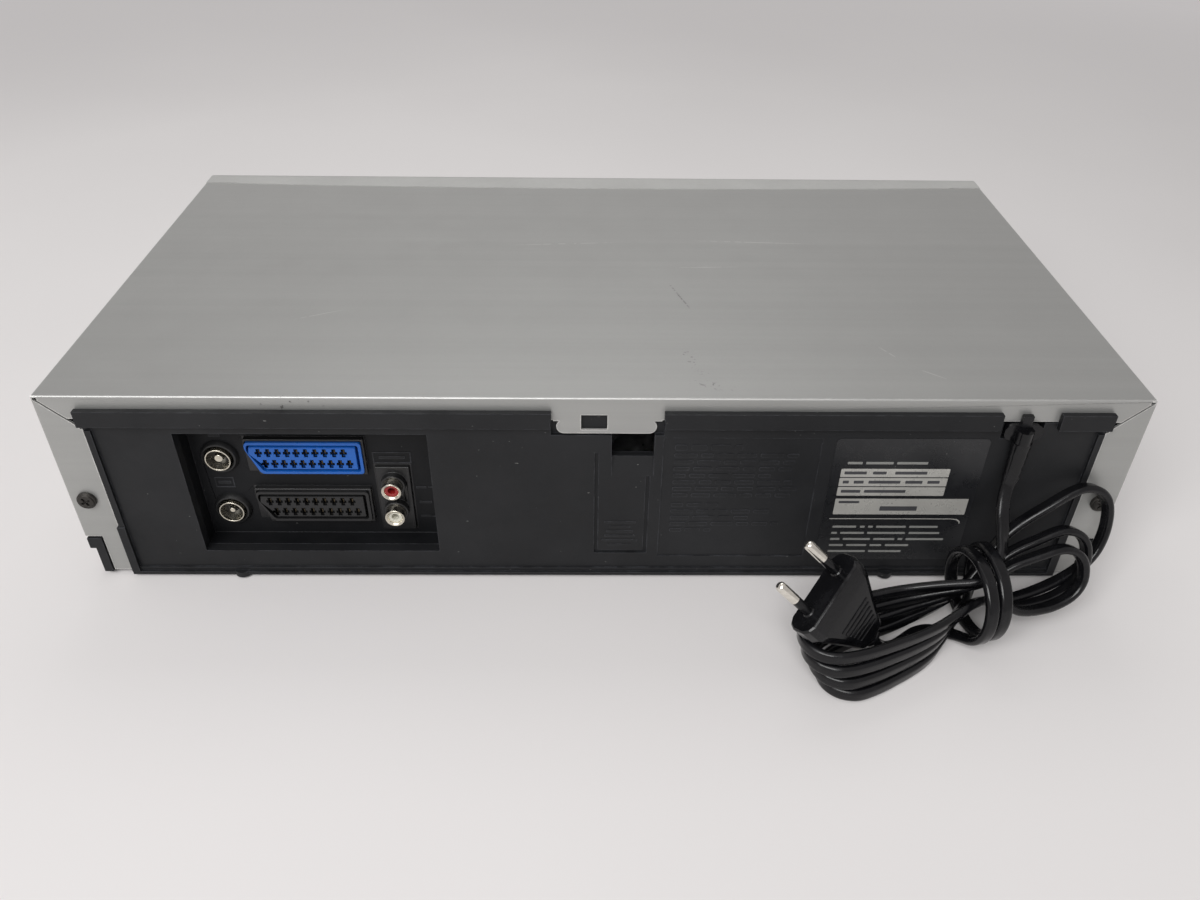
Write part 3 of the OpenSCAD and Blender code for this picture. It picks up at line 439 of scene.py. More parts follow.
def ring_profile(bm, centre, profile):
    """Turned form round an axis along Y, from (radius, y) points; closed profile."""
    count = 48
    rows = []
    for k in range(count):
        angle = 2 * math.pi * k / count
        rows.append([bm.verts.new(Vector((centre[0] + r * math.cos(angle), y,
                                          centre[1] + r * math.sin(angle))) * MM)
                     for r, y in profile])
    size = len(profile)
    for k in range(count):
        a, b = rows[k], rows[(k + 1) % count]
        for i in range(size):
            j = (i + 1) % size
            bm.faces.new((a[i], a[j], b[j], b[i]))


def loft(bm, rows):
    """Closed form through rows of vertices, with a flat face at either end."""
    for a, b in zip(rows, rows[1:]):
        for i in range(len(a)):
            j = (i + 1) % len(a)
            bm.faces.new((a[i], a[j], b[j], b[i]))
    bm.faces.new(list(reversed(rows[0])))
    bm.faces.new(rows[-1])


def slab(bm, outline, y0, y1):
    """Flat plate in the XZ plane between two depths, in millimetres."""
    loft(bm, [[bm.verts.new((x * MM, y * MM, z * MM)) for x, z in outline] for y in (y0, y1)])


def rounded(x0, x1, z0, z1, r, steps=2):
    """Outline of a rectangle with rounded corners, in millimetres."""
    points = []
    for cx, cz, start in ((x1 - r, z1 - r, 0), (x0 + r, z1 - r, 90), (x0 + r, z0 + r, 180),
                          (x1 - r, z0 + r, 270)):
        for i in range(steps + 1):
            angle = math.radians(start + 90 * i / steps)
            points.append((cx + r * math.cos(angle), cz + r * math.sin(angle)))
    return points


# ---------------------------------------------------------------- mains cord
CORD_EXIT = Vector((-166, 119.4, 74.4))
CORD_WIDE, CORD_THICK = 5.4, 3.4
# Where the hank is tied, the way it lies from there, and the radius of the tie's ring
TIE = Vector((-150, 148.5, 0))
TIE_ANGLE = math.radians(21)
TIE_RING = 17.8
ALONG = Vector((-math.cos(TIE_ANGLE), -math.sin(TIE_ANGLE), 0))
ACROSS = Vector((ALONG.y, -ALONG.x, 0))
UP = Vector((0, 0, 1))
# The middle of the plug's face, and how the plug leans, turns and rolls
PLUG_PLACE = Vector((-83.7, 167.2, 39.8))
PLUG_LEAN, PLUG_TURN, PLUG_ROLL = (math.radians(a) for a in (43, -1, 38))
PLUG_LENGTH = 34
# Least radius of a bend in the lead, the hank and the tail, after where each ends
LEAST_RADIUS = ((60, 16), (1145, 10.6), (math.inf, 12))
SLEEVE_END_Z = 53.5
# Strands nearer than this are checked for room
NEAR = 6.6


def at_tie(a, f, z):
    """A point beside the tie, from its distances along and across the hank and its height."""
    return TIE + a * ALONG + f * ACROSS + z * UP


def hank_point(u):
    """A point of the hank's course and the direction square to its loop there."""
    out = math.sin(2 * math.pi * u)
    swing = abs(out)
    k = int(math.floor(u + 0.01))
    right = out < -0.01
    # The loops on the right stand on edge, those on the left lie nearly flat
    stand = 1 / (1 + math.exp(9 * out))
    tilt = math.radians(-2 + 77 * stand)
    # How far each loop reaches from the tie, and how wide it is
    reach = (45, 50, 63)[k] if right else (77, 76, 75, 73)[k]
    a = -math.copysign(1, out) * reach * (swing + math.sin(math.pi / 2 * swing)) / 2
    wide = (21, 25, 33)[k] if right else (21, 20.5, 19.5, 19)[k]
    c = -math.cos(2 * math.pi * u) * (3.3 + (wide - 3.3) * swing ** 0.75)
    c -= a * (0.26, 0.3, 0.44)[k] if right else 0
    # The strands lie on each other in layers that fan out from the tie
    layer = (1.75 - u) * 5.6
    fan = 0.17 * a if right else (9 * u / 3.5 - 1.5) * swing
    point = at_tie(a, c * math.cos(tilt) + layer * math.sin(tilt) + fan,
                   layer * math.cos(tilt) - c * math.sin(tilt) + 11.9 + 4.6 * stand
                   + 5.1 * math.exp(-(a / 16) ** 2))
    return point, UP * math.cos(tilt) + ACROSS * math.sin(tilt)


def cord_course():
    """Points of the whole cord, each with the way its broad side's width points."""
    hank = [hank_point(i / 24) for i in range(85)]
    start, after = hank[0][0], hank[1][0]
    end, before = hank[-1][0], hank[-2][0]
    points = [CORD_EXIT] + [Vector(p) for p in (
        (-166, 119.4, 69.5), (-165.5, 120.5, 60), (-164, 123, 52),
        (-163, 127.5, 45.5), (-162, 134, 40.5), (-160, 141, 37), (-157, 146.5, 33.5))]
    widths = [Vector((1, 0, 0))] * 5 + [Vector((1, 0.2, 0.2)), Vector((0.8, 0.5, 0.5)),
                                      Vector((0.4, 0.7, 0.7))]
    points.append(start - 4.4 * (after - start).normalized())
    widths.append(hank[0][1])
    for point, square in hank:
        points.append(point)
        widths.append(square)
    points.append(end + 4.4 * (end - before).normalized())
    widths.append(hank[-1][1])
    points += [at_tie(9, -9.3, 10.7), at_tie(12.6, -14, 13.9)]
    widths += [ALONG, ALONG]
    # Turns of the tie's ring, each point shifted along the hank
    shifts = (12.5, 9.8, 7.3, 5.5, 4.8, 4.2, 3.8, 3.4, 3, 2.6, 2, 1.2, 0.4, -0.4, -1.0, -1.4,
              -1.8, -2.1, -2.5, -3.1, -4.2, -5.8)
    for i, shift in enumerate(shifts):
        angle = math.radians(180 + 30 * i)
        aside = TIE_RING * math.cos(angle)
        skew = 0.2 * min(1, i / 3, (24 - i) / 6)
        points.append(at_tie(shift - skew * aside, aside, 20.2 - TIE_RING * math.sin(angle)))
        widths.append((ALONG + skew * ACROSS).normalized())
    points += [at_tie(-9.5, -4.5, 2.2), at_tie(-16, -5.5, 1.9), at_tie(-25, -2.5, 2.1),
               at_tie(-33, 0.5, 4), at_tie(-40, 3, 8)]
    axis = Vector((math.sin(PLUG_LEAN) * math.cos(PLUG_TURN),
                   math.sin(PLUG_LEAN) * math.sin(PLUG_TURN), math.cos(PLUG_LEAN)))
    tail = PLUG_PLACE - PLUG_LENGTH * axis
    points += [tail - 4.4 * axis, tail, tail + 3 * axis]
    widths += [ACROSS] * 8
    return points, widths


def tangents_of(course):
    """The course's direction at each of its points."""
    last = len(course) - 1
    return [(course[min(i + 1, last)] - course[max(i - 1, 0)]).normalized()
            for i in range(last + 1)]


def smooth_course(points, widths):
    """Even points on a curve through the given ones, with the widths turned along."""
    step = 1.6
    course, sides = [], []
    for i in range(len(points) - 1):
        p0, p1 = points[max(i - 1, 0)], points[i]
        p2, p3 = points[i + 1], points[min(i + 2, len(points) - 1)]
        pieces = max(1, round((p2 - p1).length / step))
        for k in range(pieces):
            t = k / pieces
            course.append(0.5 * (2 * p1 + (p2 - p0) * t + (2 * p0 - 5 * p1 + 4 * p2 - p3) * t * t
                                 + (3 * p1 - p0 - 3 * p2 + p3) * t ** 3))
            a, b = widths[i], widths[i + 1]
            sides.append(a.lerp(b if a.dot(b) >= 0 else -b, t))
    course.append(points[-1])
    sides.append(widths[-1])
    last = len(course) - 1
    tangents = tangents_of(course)
    for i in range(1, last + 1):
        if sides[i].dot(sides[i - 1]) < 0:
            sides[i] = -sides[i]
    for _ in range(14):
        sides = [(sides[max(i - 1, 0)] + sides[i] * 2 + sides[min(i + 1, last)]).normalized()
                 for i in range(last + 1)]
        sides = [(s - t * s.dot(t)).normalized() for s, t in zip(sides, tangents)]
    return course, sides


def settle(course, sides):
    """Ease the tight bends, keep the strands apart and hold the cord on the surface."""
    last = len(course) - 1
    run = [0.0]
    for a, b in zip(course, course[1:]):
        run.append(run[-1] + (b - a).length)
    least = [next(radius for end, radius in LEAST_RADIUS if r < end) for r in run]
    for turn in range(160):
        need = [0.0] * (last + 1)
        for i in range(2, last - 1):
            a, b = course[i] - course[i - 2], course[i + 2] - course[i]
            bend = (b.normalized() - a.normalized()).length / (0.5 * (a.length + b.length))
            need[i] = min(1.0, max(0.0, (bend * least[i] - 1) * 3))
        push = [Vector() for _ in course]
        if turn % 4 == 0:
            tree = kdtree.KDTree(last + 1)
            for i, point in enumerate(course):
                tree.insert(point, i)
            tree.balance()
            for i, point in enumerate(course):
                for other, j, apart in tree.find_range(point, NEAR):
                    if j < i + 10:
                        continue
                    line = (point - other) / apart
                    short = (CORD_THICK + 0.12 + abs(line.dot(sides[i])) + abs(line.dot(sides[j]))
                             - apart)
                    for k, step in ((i, line * short / 2), (j, -line * short / 2)):
                        if short > 0 and step.length > push[k].length:
                            push[k] = step
            for _ in range(3):
                push = [max((push[max(i - 1, 0)] * 0.8, push[i], push[min(i + 1, last)] * 0.8),
                            key=lambda v: v.length) for i in range(last + 1)]
        moved = []
        for i, point in enumerate(course):
            if 4 < i < last - 4:
                soft = 0.6 * max(need[max(0, i - 3):i + 4])
                point = point.lerp((course[i - 1] + course[i + 1]) / 2, soft) + push[i] * 0.7
                floor = CORD_THICK / 2 + abs(sides[i].z) * (CORD_WIDE - CORD_THICK) / 2 + 0.05
                point.z = max(point.z, floor)
            moved.append(point)
        course = moved
    tangents = tangents_of(course)
    sides = [(s - t * s.dot(t)).normalized() for s, t in zip(sides, tangents)]
    return course, sides, tangents


def oval(wide, thick):
    """Flat twin sheath's outline: round narrow sides, a shallow groove along the broad ones."""
    count = 28
    r = thick / 2
    flat = wide / 2 - r
    points = []
    for k in range(count):
        angle = 2 * math.pi * (k + 0.5) / count
        c, s = math.cos(angle), math.sin(angle)
        groove = 0.16 * math.exp(-(c * (r + flat) / 0.55) ** 2)
        points.append((c * r + math.copysign(flat, c) * min(1, abs(c) * 3),
                       s * r - math.copysign(groove, s)))
    return points


def sweep(bm, course, sides, tangents, outlines):
    """Tube of changing outline along the course; millimetres in, metres out."""
    rings = []
    for point, side, tangent, outline in zip(course, sides, tangents, outlines):
        other = tangent.cross(side)
        rings.append([bm.verts.new((point + side * u + other * v) * MM) for u, v in outline])
    loft(bm, rings)


def make_cord():
    """The cord in one piece and the sleeve at its start; also its course and length."""
    course, sides, tangents = settle(*smooth_course(*cord_course()))
    bm = bmesh.new()
    sweep(bm, course, sides, tangents, [oval(CORD_WIDE, CORD_THICK)] * len(course))
    cord = finish_piece(bm, "mains_cord", M["cord_rubber"], sharp=60)
    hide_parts("power_cord_lead", "power_cord_hank", "power_cord_tail")
    # Tapered sleeve over the lead's start
    count = next(i for i, p in enumerate(course) if p.z < SLEEVE_END_Z)
    bm = bmesh.new()
    outlines = []
    for i in range(count):
        t = i / (count - 1)
        rib = 0.14 * math.cos(2 * math.pi * t * 6) if 0.1 < t < 0.93 else 0
        grow = (1 - t) ** 0.8 * 0.95 + 0.25 + rib
        outlines.append(oval(CORD_WIDE + 2 * grow, CORD_THICK + 2 * grow * 0.9))
    sweep(bm, course[:count], sides[:count], tangents[:count], outlines)
    sleeve = finish_piece(bm, "cord_sleeve", M["cord_rubber"], sharp=50)
    length = sum((b - a).length for a, b in zip(course, course[1:]))
    return cord, sleeve, course, length


cord, sleeve, cord_line, cord_length = make_cord()


# ---------------------------------------------------------------- plug
PIN_X = 9.3


def rings_round(bm, place, stations, count, x=0, wide=1, high=1):
    """Rings round an axis of the plug, from (z, radius) stations in millimetres."""
    return [[bm.verts.new(place @ Vector((x + r * wide * math.cos(2 * math.pi * k / count),
                                          r * high * math.sin(2 * math.pi * k / count), z)) * MM)
             for k in range(count)] for z, r in stations]


def make_plug():
    """Flat two-pin plug: a chamfered face, a waisted body, grip ribs and a cord sleeve."""
    place = (Matrix.Translation(PLUG_PLACE) @ Matrix.Rotation(PLUG_TURN, 4, "Z")
             @ Matrix.Rotation(PLUG_LEAN, 4, "Y") @ Matrix.Rotation(PLUG_ROLL, 4, "Z"))
    bm = bmesh.new()
    # Depth, half width, half height and chamfer of the body's sections, from face to cord
    stations = [(0, 16.9, 6.1, 3.6), (-0.7, 17.6, 6.8, 4.0), (-6.6, 17.6, 6.8, 4.2),
                (-8.4, 16.9, 6.7, 4.1), (-12, 15.0, 6.4, 3.9), (-17, 12.6, 5.7, 3.6),
                (-22, 10.3, 5.0, 3.2), (-26, 8.5, 4.5, 2.8), (-29.4, 7.0, 4.0, 2.4),
                (-30, 6.4, 3.6, 2.2)]
    rings = []
    for z, w, h, chamfer in stations:
        outline = []
        for sx, sy in ((1, 1), (-1, 1), (-1, -1), (1, -1)):
            corner = [(sx * w, sy * (h - chamfer)),
                      (sx * (w - 0.35 * chamfer), sy * (h - 0.35 * chamfer)),
                      (sx * (w - chamfer), sy * h)]
            outline += corner if sx == sy else corner[::-1]
        rings.append([bm.verts.new(place @ Vector((x, y, z)) * MM) for x, y in outline])
    loft(bm, rings)
    # Sleeve over the cord's end
    loft(bm, rings_round(bm, place, ((-29.6, 3.4), (-31.2, 3.4), (-31.5, 3.0), (-32.2, 3.0),
                                     (-32.5, 3.3), (-33.6, 3.3), (-34, 2.9)), 24,
                         wide=1.15, high=0.82))
    # Grip ribs across both broad sides, near the cord; they follow the body's taper
    for side in (1, -1):
        for k in range(6):
            z = -13.6 - 2.2 * k
            taper = (-12 - z) / 17.4
            half = 9.2 - 5.0 * taper
            foot, top = 5.5 - 2.4 * taper, 6.82 - 2.4 * taper
            loft(bm, [[bm.verts.new(place @ Vector((x, side * y, z + d * edge)) * MM)
                       for x, y, d in ((-half, foot, 0.5), (half, foot, 0.5),
                                       (half - 0.5, top, 0.3), (0.5 - half, top, 0.3))]
                      for edge in (-1, 1)])
    # Insulating sleeves of the pins
    for x in (-PIN_X, PIN_X):
        loft(bm, rings_round(bm, place, ((-0.6, 2.5), (0.5, 2.5), (0.9, 1.95), (8.7, 1.9),
                                         (9.0, 1.7)), 24, x))
    plug = finish_piece(bm, "plug_body", M["cord_rubber"], sharp=25)
    soften(plug, 0.0003, angle=20)
    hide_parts("mains_plug")
    bm = bmesh.new()
    for x in (-PIN_X, PIN_X):
        loft(bm, rings_round(bm, place, ((8.9, 2.0), (17.6, 2.0), (18.1, 1.9), (18.6, 1.6),
                                         (19.0, 1.0), (19.1, 0.4)), 32, x))
    pins = finish_piece(bm, "plug_pin_pair", M["pin_nickel"], sharp=40)
    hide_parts("plug_pins")
    return plug, pins


plug, pins = make_plug()


# ---------------------------------------------------------------- dressed nodes
# Outer faces of the cover, the bezel's front and the rear panel
SIDE, TOP, REAR, FRONT = 215, 92, 116.5, -118
SOCKET_X = 119.3
SOCKET_Z = {"blue": 56.6, "black": 31.2}


def cover_bends(bm):
    """Round the folds of the cover's sheet."""
    round_edges(bm, lambda v: v.z > TOP - 0.1 and abs(v.x) > SIDE - 0.1, 0.0008)
    round_edges(bm, lambda v: v.z > TOP - 0.1 and v.y > REAR - 0.1, 0.0006)
    round_edges(bm, lambda v: abs(v.x) > SIDE - 0.1 and v.y > REAR - 0.1, 0.0005)


def front_rims(bm):
    """Round the rims of the bezel's front."""
    round_edges(bm, lambda v: v.y < FRONT + 0.1, 0.0009, 4, True)


def rear_rims(bm):
    """Round the rims of the rear panel and of its openings."""
    round_edges(bm, lambda v: v.y > REAR - 0.9, 0.00025, 3, True)


def socket_outline(t, z):
    """Outline of the 21-pin socket whose middle is at z, drawn in by t from its outside."""
    w, h = 23.6 - t, 7.85 - t
    return [(SOCKET_X + u, z + v) for u, v in (
        (-w, -h), (w - 5, -h), (w + 0.4 * t, h - 3), (w + 0.4 * t - 0.5, h), (-w, h))]


def rim_corners(bm):
    """Round the upright corners of the socket's shell and of the groove inside its rim."""
    for t, width in ((0, 0.0014), (1.2, 0.001)):
        corners = [corner for z in SOCKET_Z.values() for corner in socket_outline(t, z)]
        edges = [e for e in bm.edges if len(e.link_faces) == 2
                 and abs(e.verts[0].co.y - e.verts[1].co.y) > 0.001
                 and any(math.dist((v.co.x / MM, v.co.z / MM), c) < 0.1
                         for v in e.verts for c in corners)]
        bmesh.ops.bevel(bm, geom=edges, offset=width, offset_type="OFFSET", segments=4,
                        profile=0.5, affect="EDGES", clamp_overlap=True)


dress("top_cover", 0.0002, cover_bends)
dress("chassis_frame", 0.0001, rear_rims)
# The socket bay takes the darker copy of the plastic, as painted shade
dress("socket_bay", 0.0003, material=bay_plastic_painted_shade)
dress("front_bezel", 0.0003, front_rims)
dress("cassette_flap", 0.0003)
dress("display_window", 0.0003)
dress("jack_door", 0.0003)
dress("strain_relief", 0.0004)
dress("scart_blue", 0.0003, rim_corners)
dress("scart_black", 0.0003, rim_corners)
dress("audio_jack_block", 0.0003)
dress("audio_jack_rings", 0.0003)
dress("audio_insert_red", 0.0002)
dress("audio_insert_white", 0.0002)
dress("aerial_sockets", 0.00015)
dress("cover_screws", 0.0003)
dress("feet", 0.0008, segments=3)
dress("bottom_plate", 0.0003)


# ---------------------------------------------------------------- rear details
AERIAL_X, AERIAL_Z = 154.7, (55.4, 28)
AUDIO_X, AUDIO_Z, AUDIO_MIDDLE = 84.8, (29, 43), 34
BAY_FLOOR = 105


def aerial_collars():
    """Black dished collar and insulator of each aerial socket."""
    bm = bmesh.new()
    for z in AERIAL_Z:
        ring_profile(bm, (AERIAL_X, z), [(5.35, 104.2), (5.35, 105.6), (5.7, 106.6), (6.3, 107.2),
                                         (6.9, 107.1), (7.5, 106.2), (7.9, 105.2), (8.1, 104.2)])
        ring_profile(bm, (AERIAL_X, z), [(1.75, 102.9), (1.75, 104.6), (2.1, 104.9), (3.6, 104.6),
                                         (4.62, 104.3), (4.62, 102.9)])
    finish_piece(bm, "aerial_collars", M["socket_black"], sharp=40)


def pierced(bm, outer, holes, y0, y1):
    """Flat plate with holes in the XZ plane between two depths, in millimetres."""
    edges = []
    for loop in [outer] + holes:
        verts = [bm.verts.new((x * MM, y0 * MM, z * MM)) for x, z in loop]
        edges += [bm.edges.new((a, b)) for a, b in zip(verts, verts[1:] + verts[:1])]
    flat = [g for g in bmesh.ops.triangle_fill(bm, edges=edges, use_beauty=True)["geom"]
            if isinstance(g, bmesh.types.BMFace)]
    grown = bmesh.ops.extrude_face_region(bm, geom=flat, use_keep_orig=True)["geom"]
    bmesh.ops.translate(bm, vec=(0, (y1 - y0) * MM, 0),
                        verts=[g for g in grown if isinstance(g, bmesh.types.BMVert)])


def box_outline(x, z, w, h):
    """Outline of a rectangle round its middle."""
    return [(x - w / 2, z - h / 2), (x + w / 2, z - h / 2), (x + w / 2, z + h / 2),
            (x - w / 2, z + h / 2)]


def socket_pieces():
    """Contact faces with crossed slots, black plates of painted shade behind them, and collars
    round the shells, whose sleeves are painted shade too.
    """
    dark, surrounds = bmesh.new(), bmesh.new()
    collar_y = (BAY_FLOOR - 1.4, BAY_FLOOR + 0.05)
    # Half width and half height of a slot's upright, then of its bar
    a, b, c, d = 0.8, 2.05, 1.5, 0.7
    cross = [(-a, -b), (a, -b), (a, -d), (c, -d), (c, d), (a, d), (a, b), (-a, b), (-a, d),
             (-c, d), (-c, -d), (-a, -d)]
    pitch = 3.81
    spots = [(pitch * (i - 4.5) + row * 0.95, row * 2.75) for row in (-1, 1) for i in range(10)]
    for name, z in SOCKET_Z.items():
        slots = [[(SOCKET_X + (u + p), z + (v + q)) for p, q in cross] for u, v in spots]
        face = bmesh.new()
        pierced(face, socket_outline(2.5, z), slots, 108.1, 108.45)
        finish_piece(face, "socket_face_" + name, M["socket_" + name])
        # Black plate just behind the face: painted shade inside the slots, with holes where the
        # contacts show
        pierced(dark, socket_outline(2.7, z),
                [box_outline(SOCKET_X + u, z + v, 1.0, 2.9) for u, v in spots], 108.08, 108.14)
        shell = socket_outline(0.05, z)
        pierced(surrounds, box_outline(SOCKET_X, z, 49.6, 18), [shell], *collar_y)
        # Black sleeve over each shell's sides up to a thin rim: painted shade where the shell
        # stands out of the bay
        pierced(surrounds, socket_outline(-1.0, z), [shell], 104.6, 107.5)
    pierced(surrounds, box_outline(AUDIO_X, AUDIO_MIDDLE, 15.8, 35.4),
            [box_outline(AUDIO_X, AUDIO_MIDDLE, 13.9, 33.5)], *collar_y)
    # Black plates behind the cover's corner seams: painted shade seen through the seams
    for side in (1, -1):
        slab(dark, [(side * x, z) for x, z in ((213.9, 90.9), (213.9, 86), (203, 74), (199, 74),
                                               (199, 82.5), (208, 90.9))], 114.9, 115.4)
    finish_piece(dark, "painted_shade_plates", painted_shade_black)
    piece = finish_piece(surrounds, "socket_surrounds", M["socket_black"])
    soften(piece, 0.00025)
    lips = bmesh.new()
    for z in AUDIO_Z:
        ring_profile(lips, (AUDIO_X, z), [(2.8, 112.4), (2.8, 112.75), (3.25, 113.35),
                                          (3.95, 113.54), (4.0, 113.4), (3.5, 113.1),
                                          (3.42, 112.4)])
    finish_piece(lips, "audio_lips", M["socket_nickel"], sharp=40)


def frame_bars(x0, x1, z0, z1):
    """Corners of the four bars of a thin frame."""
    wide = 0.5
    return ((x0, x1, z1 - wide, z1), (x0, x1, z0, z0 + wide),
            (x0, x0 + wide, z0 + wide, z1 - wide), (x1 - wide, x1, z0 + wide, z1 - wide))


def panel_relief():
    """Plain raised bars where the moulding carries words, and thin raised frames."""
    bm = bmesh.new()
    # Height, share of the full width, and letter height of each line on the rear panel
    rows = [(69.0, 0.50, 3.0), (65.2, 0.92, 1.9), (61.8, 0.90, 1.9), (58.4, 0.88, 1.9),
            (55.0, 0.74, 1.9), (51.6, 0.90, 1.9), (48.2, 0.94, 1.9), (44.8, 0.90, 1.9),
            (39.6, 0.36, 1.9), (36.2, 0.76, 1.9), (32.8, 0.60, 1.9), (29.4, 0.84, 1.9),
            (26.0, 0.32, 1.9)]
    for index, (z, share, tall) in enumerate(rows):
        x = -30.5
        end = x - 54 * share
        step = 0
        while x > end:
            length = 5.0 + 4.2 * ((index * 7 + step * 5) % 4) / 3
            stop = max(x - length, end)
            if x - stop > 2:
                slab(bm, rounded(stop, x, z - tall / 2, z + tall / 2, tall * 0.3, 3),
                     REAR, REAR + 0.28)
            x = stop - 1.5
            step += 1
    # Lines on the tongue below the latch slot
    for index, half in enumerate((6.6, 4.4, 5.6, 6.4, 7.6, 5.0)):
        z = 30.5 - 2.5 * index
        slab(bm, rounded(-9.6 - half, -9.6 + half, z - 0.55, z + 0.55, 0.3), 116.9, 117.14)
    # Bars for the words on the bay's floor, two of them framed, and a bracket
    for x0, x1, z0, z1 in (*frame_bars(76.6, 92.4, 52.0, 57.7), (79.2, 89.8, 54.2, 55.6),
                           *frame_bars(151.6, 159.6, 39.0, 44.4), (153.0, 158.2, 41.0, 42.4),
                           (152.6, 157.2, 65.1, 66.6), (71.8, 76.0, 38.7, 39.8),
                           (68.8, 69.3, 23.0, 39.7), (69.3, 71.0, 39.2, 39.7),
                           (69.3, 71.0, 23.0, 23.5), (70.2, 75.4, 30.6, 31.8),
                           (71.2, 75.4, 23.0, 24.1)):
        slab(bm, [(x0, z0), (x1, z0), (x1, z1), (x0, z1)], BAY_FLOOR - 0.1, BAY_FLOOR + 0.2)
    finish_piece(bm, "panel_relief", M["chassis_plastic"])


LABEL_FACE = 117.2


def bars(bm, rows):
    """Thin bars on the label: each row has its height, its thickness and its bars."""
    for z, tall, parts in rows:
        for x, length in parts:
            slab(bm, rounded(x - length, x, z - tall / 2, z + tall / 2, 0.25),
                 LABEL_FACE - 0.05, LABEL_FACE + 0.01)


def label_pieces():
    """Film with rounded corners, silver fields, and plain bars where words would be."""
    film = bmesh.new()
    slab(film, rounded(-155, -94, 10, 74, 2.2, 6), 117.0, LABEL_FACE - 0.02)
    label = finish_piece(film, "label_skin", M["label_film"])
    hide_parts("rating_label")
    silver = bmesh.new()
    for x0, x1, z0, z1 in ((-142, -98, 54.9, 59.1), (-142, -98, 50.2, 54.4),
                           (-142, -98, 45.2, 49.7), (-153, -98, 35.2, 43.6)):
        slab(silver, rounded(x0, x1, z0, z1, 0.3), LABEL_FACE - 0.1, LABEL_FACE)
    rule = [(-97, 32.6), (-97, 33.0), (-148, 33.0), (-150.4, 32.7), (-151.8, 31.8), (-152.3, 30.4),
            (-151.9, 30.3), (-151.4, 31.4), (-150.2, 32.2), (-148, 32.6)]
    slab(silver, rule, LABEL_FACE - 0.1, LABEL_FACE)
    finish_piece(silver, "label_fields", print_silver)
    ink = bmesh.new()
    bars(ink, ((57.0, 1.5, ((-99.5, 9), (-111, 5.5), (-120, 13))),
               (52.3, 1.5, ((-99.5, 2.5), (-104, 4), (-110, 13), (-125, 7), (-134, 5))),
               (47.5, 1.5, ((-99.5, 8), (-109, 17))),
               (41.8, 1.2, ((-99.5, 8.5),)),
               (38.4, 2.4, ((-117, 15.5),))))
    finish_piece(ink, "label_ink", print_ink)
    light = bmesh.new()
    bars(light, ((28.4, 1.1, ((-99, 10), (-110.6, 2), (-114, 2), (-117.4, 12.5), (-131.4, 12))),
                 (24.95, 1.1, ((-99, 2.4), (-102.8, 10), (-114.2, 16), (-131.8, 13))),
                 (21.5, 1.1, ((-99, 4), (-104.4, 11.6), (-117.4, 9), (-127.8, 2), (-131.2, 16))),
                 (18.05, 1.1, ((-99, 6), (-106.4, 8.6), (-116.4, 5), (-123, 10))),
                 (14.6, 1.1, ((-99, 16), (-116.4, 14))),
                 (62.0, 1.2, ((-100, 6), (-107.4, 11), (-119.8, 12.5)))))
    finish_piece(light, "label_lines", print_light)


aerial_collars()
socket_pieces()
panel_relief()
label_pieces()


# ---------------------------------------------------------------- front details
BUTTON_FRONT = -119.5
SIGN_STAND = 0.15


def button_faces():
    """Caps with rounded edges; their faces sit back by the thickness of the raised signs."""
    def back(bm):
        round_edges(bm, lambda v: v.y < BUTTON_FRONT + 0.1, 0.0007, 4, True)
        # All that lies before the foot of the rounding
        for vert in bm.verts:
            if vert.co.y < -0.1188:
                vert.co.y += SIGN_STAND * MM
    for name in ("power", "eject", "rewind", "play", "fast_forward", "stop", "record",
                 "channel_up", "channel_down"):
        dress(name + "_button", 0.0003, back)


def sign(name, shapes, material=print_ink):
    """Thin raised print on a button, riding on its key."""
    bm = bmesh.new()
    for outline in shapes:
        slab(bm, outline, BUTTON_FRONT, BUTTON_FRONT + 0.2)
    finish_piece(bm, name + "_sign", material, name + "_key")


def triangle(x, z, w, h):
    """Triangle pointing to +X, or to -X for a negative width."""
    return [(x - w / 2, z - h / 2), (x + w / 2, z), (x - w / 2, z + h / 2)]


def disc(x, z, r):
    """Outline of a round face."""
    count = 28
    return [(x + r * math.cos(2 * math.pi * k / count), z + r * math.sin(2 * math.pi * k / count))
            for k in range(count)]


def front_signs():
    """The usual transport signs."""
    sign("play", [triangle(152, 44, 6, 6.4)])
    sign("rewind", [triangle(124.3, 44, -3.4, 4), triangle(127.9, 44, -3.4, 4)])
    sign("fast_forward", [triangle(176.2, 44, 3.4, 4), triangle(179.8, 44, 3.4, 4)])
    sign("stop", [box_outline(152, 66, 3.8, 3.8)])
    sign("record", [disc(186, 72, 2)], print_silver)
    sign("eject", [[(119.4, 72.1), (124.6, 72.1), (122, 74.6)], box_outline(122, 70.7, 5.2, 1)])
    sign("power", [box_outline(-178, 72, 0.8, 4.4)])
    sign("channel_up", [box_outline(-132, 66, 3.8, 0.8), box_outline(-132, 67.4, 0.8, 2),
                        box_outline(-132, 64.6, 0.8, 2)])
    sign("channel_down", [box_outline(-132, 52, 3.8, 0.8)])


button_faces()
front_signs()


# ---------------------------------------------------------------- stage and light
BACKDROP = (0.52, 0.50, 0.50, 1)
FLOOR_HALF, FLOOR_CELLS = 3.0, 60
# Where the floor starts and ends its passing into the backdrop, from the origin
FADE_START, FADE_END = 0.6, 1.25


def seen_rays(nodes, links):
    """One for rays that show the backdrop: camera, glossy and transmission rays."""
    path = nodes.new("ShaderNodeLightPath")
    either = path.outputs["Is Camera Ray"]
    for name in ("Is Glossy Ray", "Is Transmission Ray"):
        node = nodes.new("ShaderNodeMath")
        node.operation = "MAXIMUM"
        links.new(either, node.inputs[0])
        links.new(path.outputs[name], node.inputs[1])
        either = node.outputs[0]
    return either


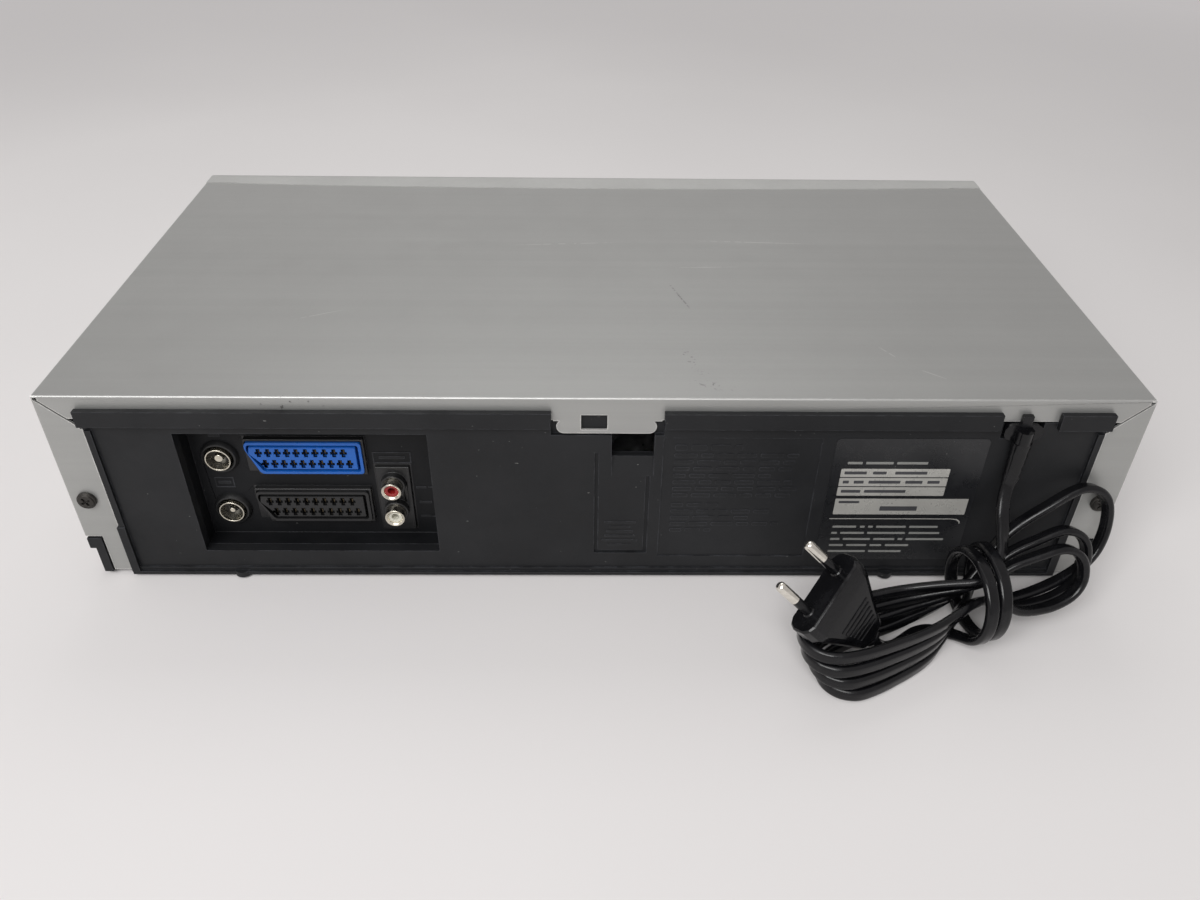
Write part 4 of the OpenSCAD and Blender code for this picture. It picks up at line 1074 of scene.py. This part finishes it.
def lamp(name, place, size_x, size_y, power):
    """Soft panel that looks at the origin."""
    data = bpy.data.lights.new(name, "AREA")
    data.shape = "RECTANGLE"
    data.size, data.size_y = size_x, size_y
    data.energy = power
    panel = bpy.data.objects.new(name, data)
    panel.location = place
    panel.rotation_euler = (-Vector(place)).to_track_quat("-Z", "Y").to_euler()
    bpy.context.scene.collection.objects.link(panel)


def make_floor():
    """Wide light cloth that passes into the backdrop away from the object."""
    bm = bmesh.new()
    marks = [FLOOR_HALF * (2 * i / FLOOR_CELLS - 1) for i in range(FLOOR_CELLS + 1)]
    grid = [[bm.verts.new((x, y, 0.0)) for x in marks] for y in marks]
    for near, far in zip(grid, grid[1:]):
        for i in range(FLOOR_CELLS):
            bm.faces.new((near[i], near[i + 1], far[i + 1], far[i]))
    mesh = bpy.data.meshes.new("floor")
    bm.to_mesh(mesh)
    bm.free()
    floor = bpy.data.objects.new("floor", mesh)
    bpy.context.scene.collection.objects.link(floor)
    s = Shader("floor_cloth")
    s.colour(s.ramp(s.noise(1.4, 3, 0.5), 0.35, 0.65, (0.755, 0.728, 0.724),
                    (0.815, 0.788, 0.783)))
    s.rough(s.span(s.noise(30, 2, 0.5), 0.3, 0.7, 0.85, 0.95))
    s.bsdf.inputs["Specular IOR Level"].default_value = 0.2
    away = s.add("ShaderNodeVectorMath", operation="LENGTH")
    s.links.new(s.place, away.inputs[0])
    fade = s.math("MULTIPLY", s.span(away.outputs["Value"], FADE_START, FADE_END, 0, 1),
                  seen_rays(s.nodes, s.links))
    glow, blend = s.add("ShaderNodeEmission"), s.add("ShaderNodeMixShader")
    glow.inputs[0].default_value = BACKDROP
    out = next(n for n in s.nodes if n.type == "OUTPUT_MATERIAL")
    s.links.new(fade, blend.inputs[0])
    s.links.new(s.bsdf.outputs[0], blend.inputs[1])
    s.links.new(glow.outputs[0], blend.inputs[2])
    s.links.new(blend.outputs[0], out.inputs[0])
    mesh.materials.append(s.mat)


def make_world():
    """Even light all round, and the backdrop's colour where it is seen."""
    world = bpy.data.worlds.new("world")
    bpy.context.scene.world = world
    world.use_nodes = True
    nodes, links = world.node_tree.nodes, world.node_tree.links
    nodes.clear()
    out = nodes.new("ShaderNodeOutputWorld")
    light = nodes.new("ShaderNodeBackground")
    seen = nodes.new("ShaderNodeBackground")
    mix = nodes.new("ShaderNodeMixShader")
    light.inputs[0].default_value = (1.0, 0.995, 0.985, 1)
    light.inputs[1].default_value = 0.22
    seen.inputs[0].default_value = BACKDROP
    links.new(seen_rays(nodes, links), mix.inputs[0])
    links.new(light.outputs[0], mix.inputs[1])
    links.new(seen.outputs[0], mix.inputs[2])
    links.new(mix.outputs[0], out.inputs[0])


make_floor()
lamp("key", (0.55, 1.42, 1.42), 1.6, 1.0, 38)
lamp("overhead", (0.1, 0.1, 1.7), 1.8, 0.5, 2)
lamp("far_fill", (0.1, -1.15, 1.6), 1.2, 0.8, 5)
make_world()
bpy.context.scene.view_settings.view_transform = "Standard"
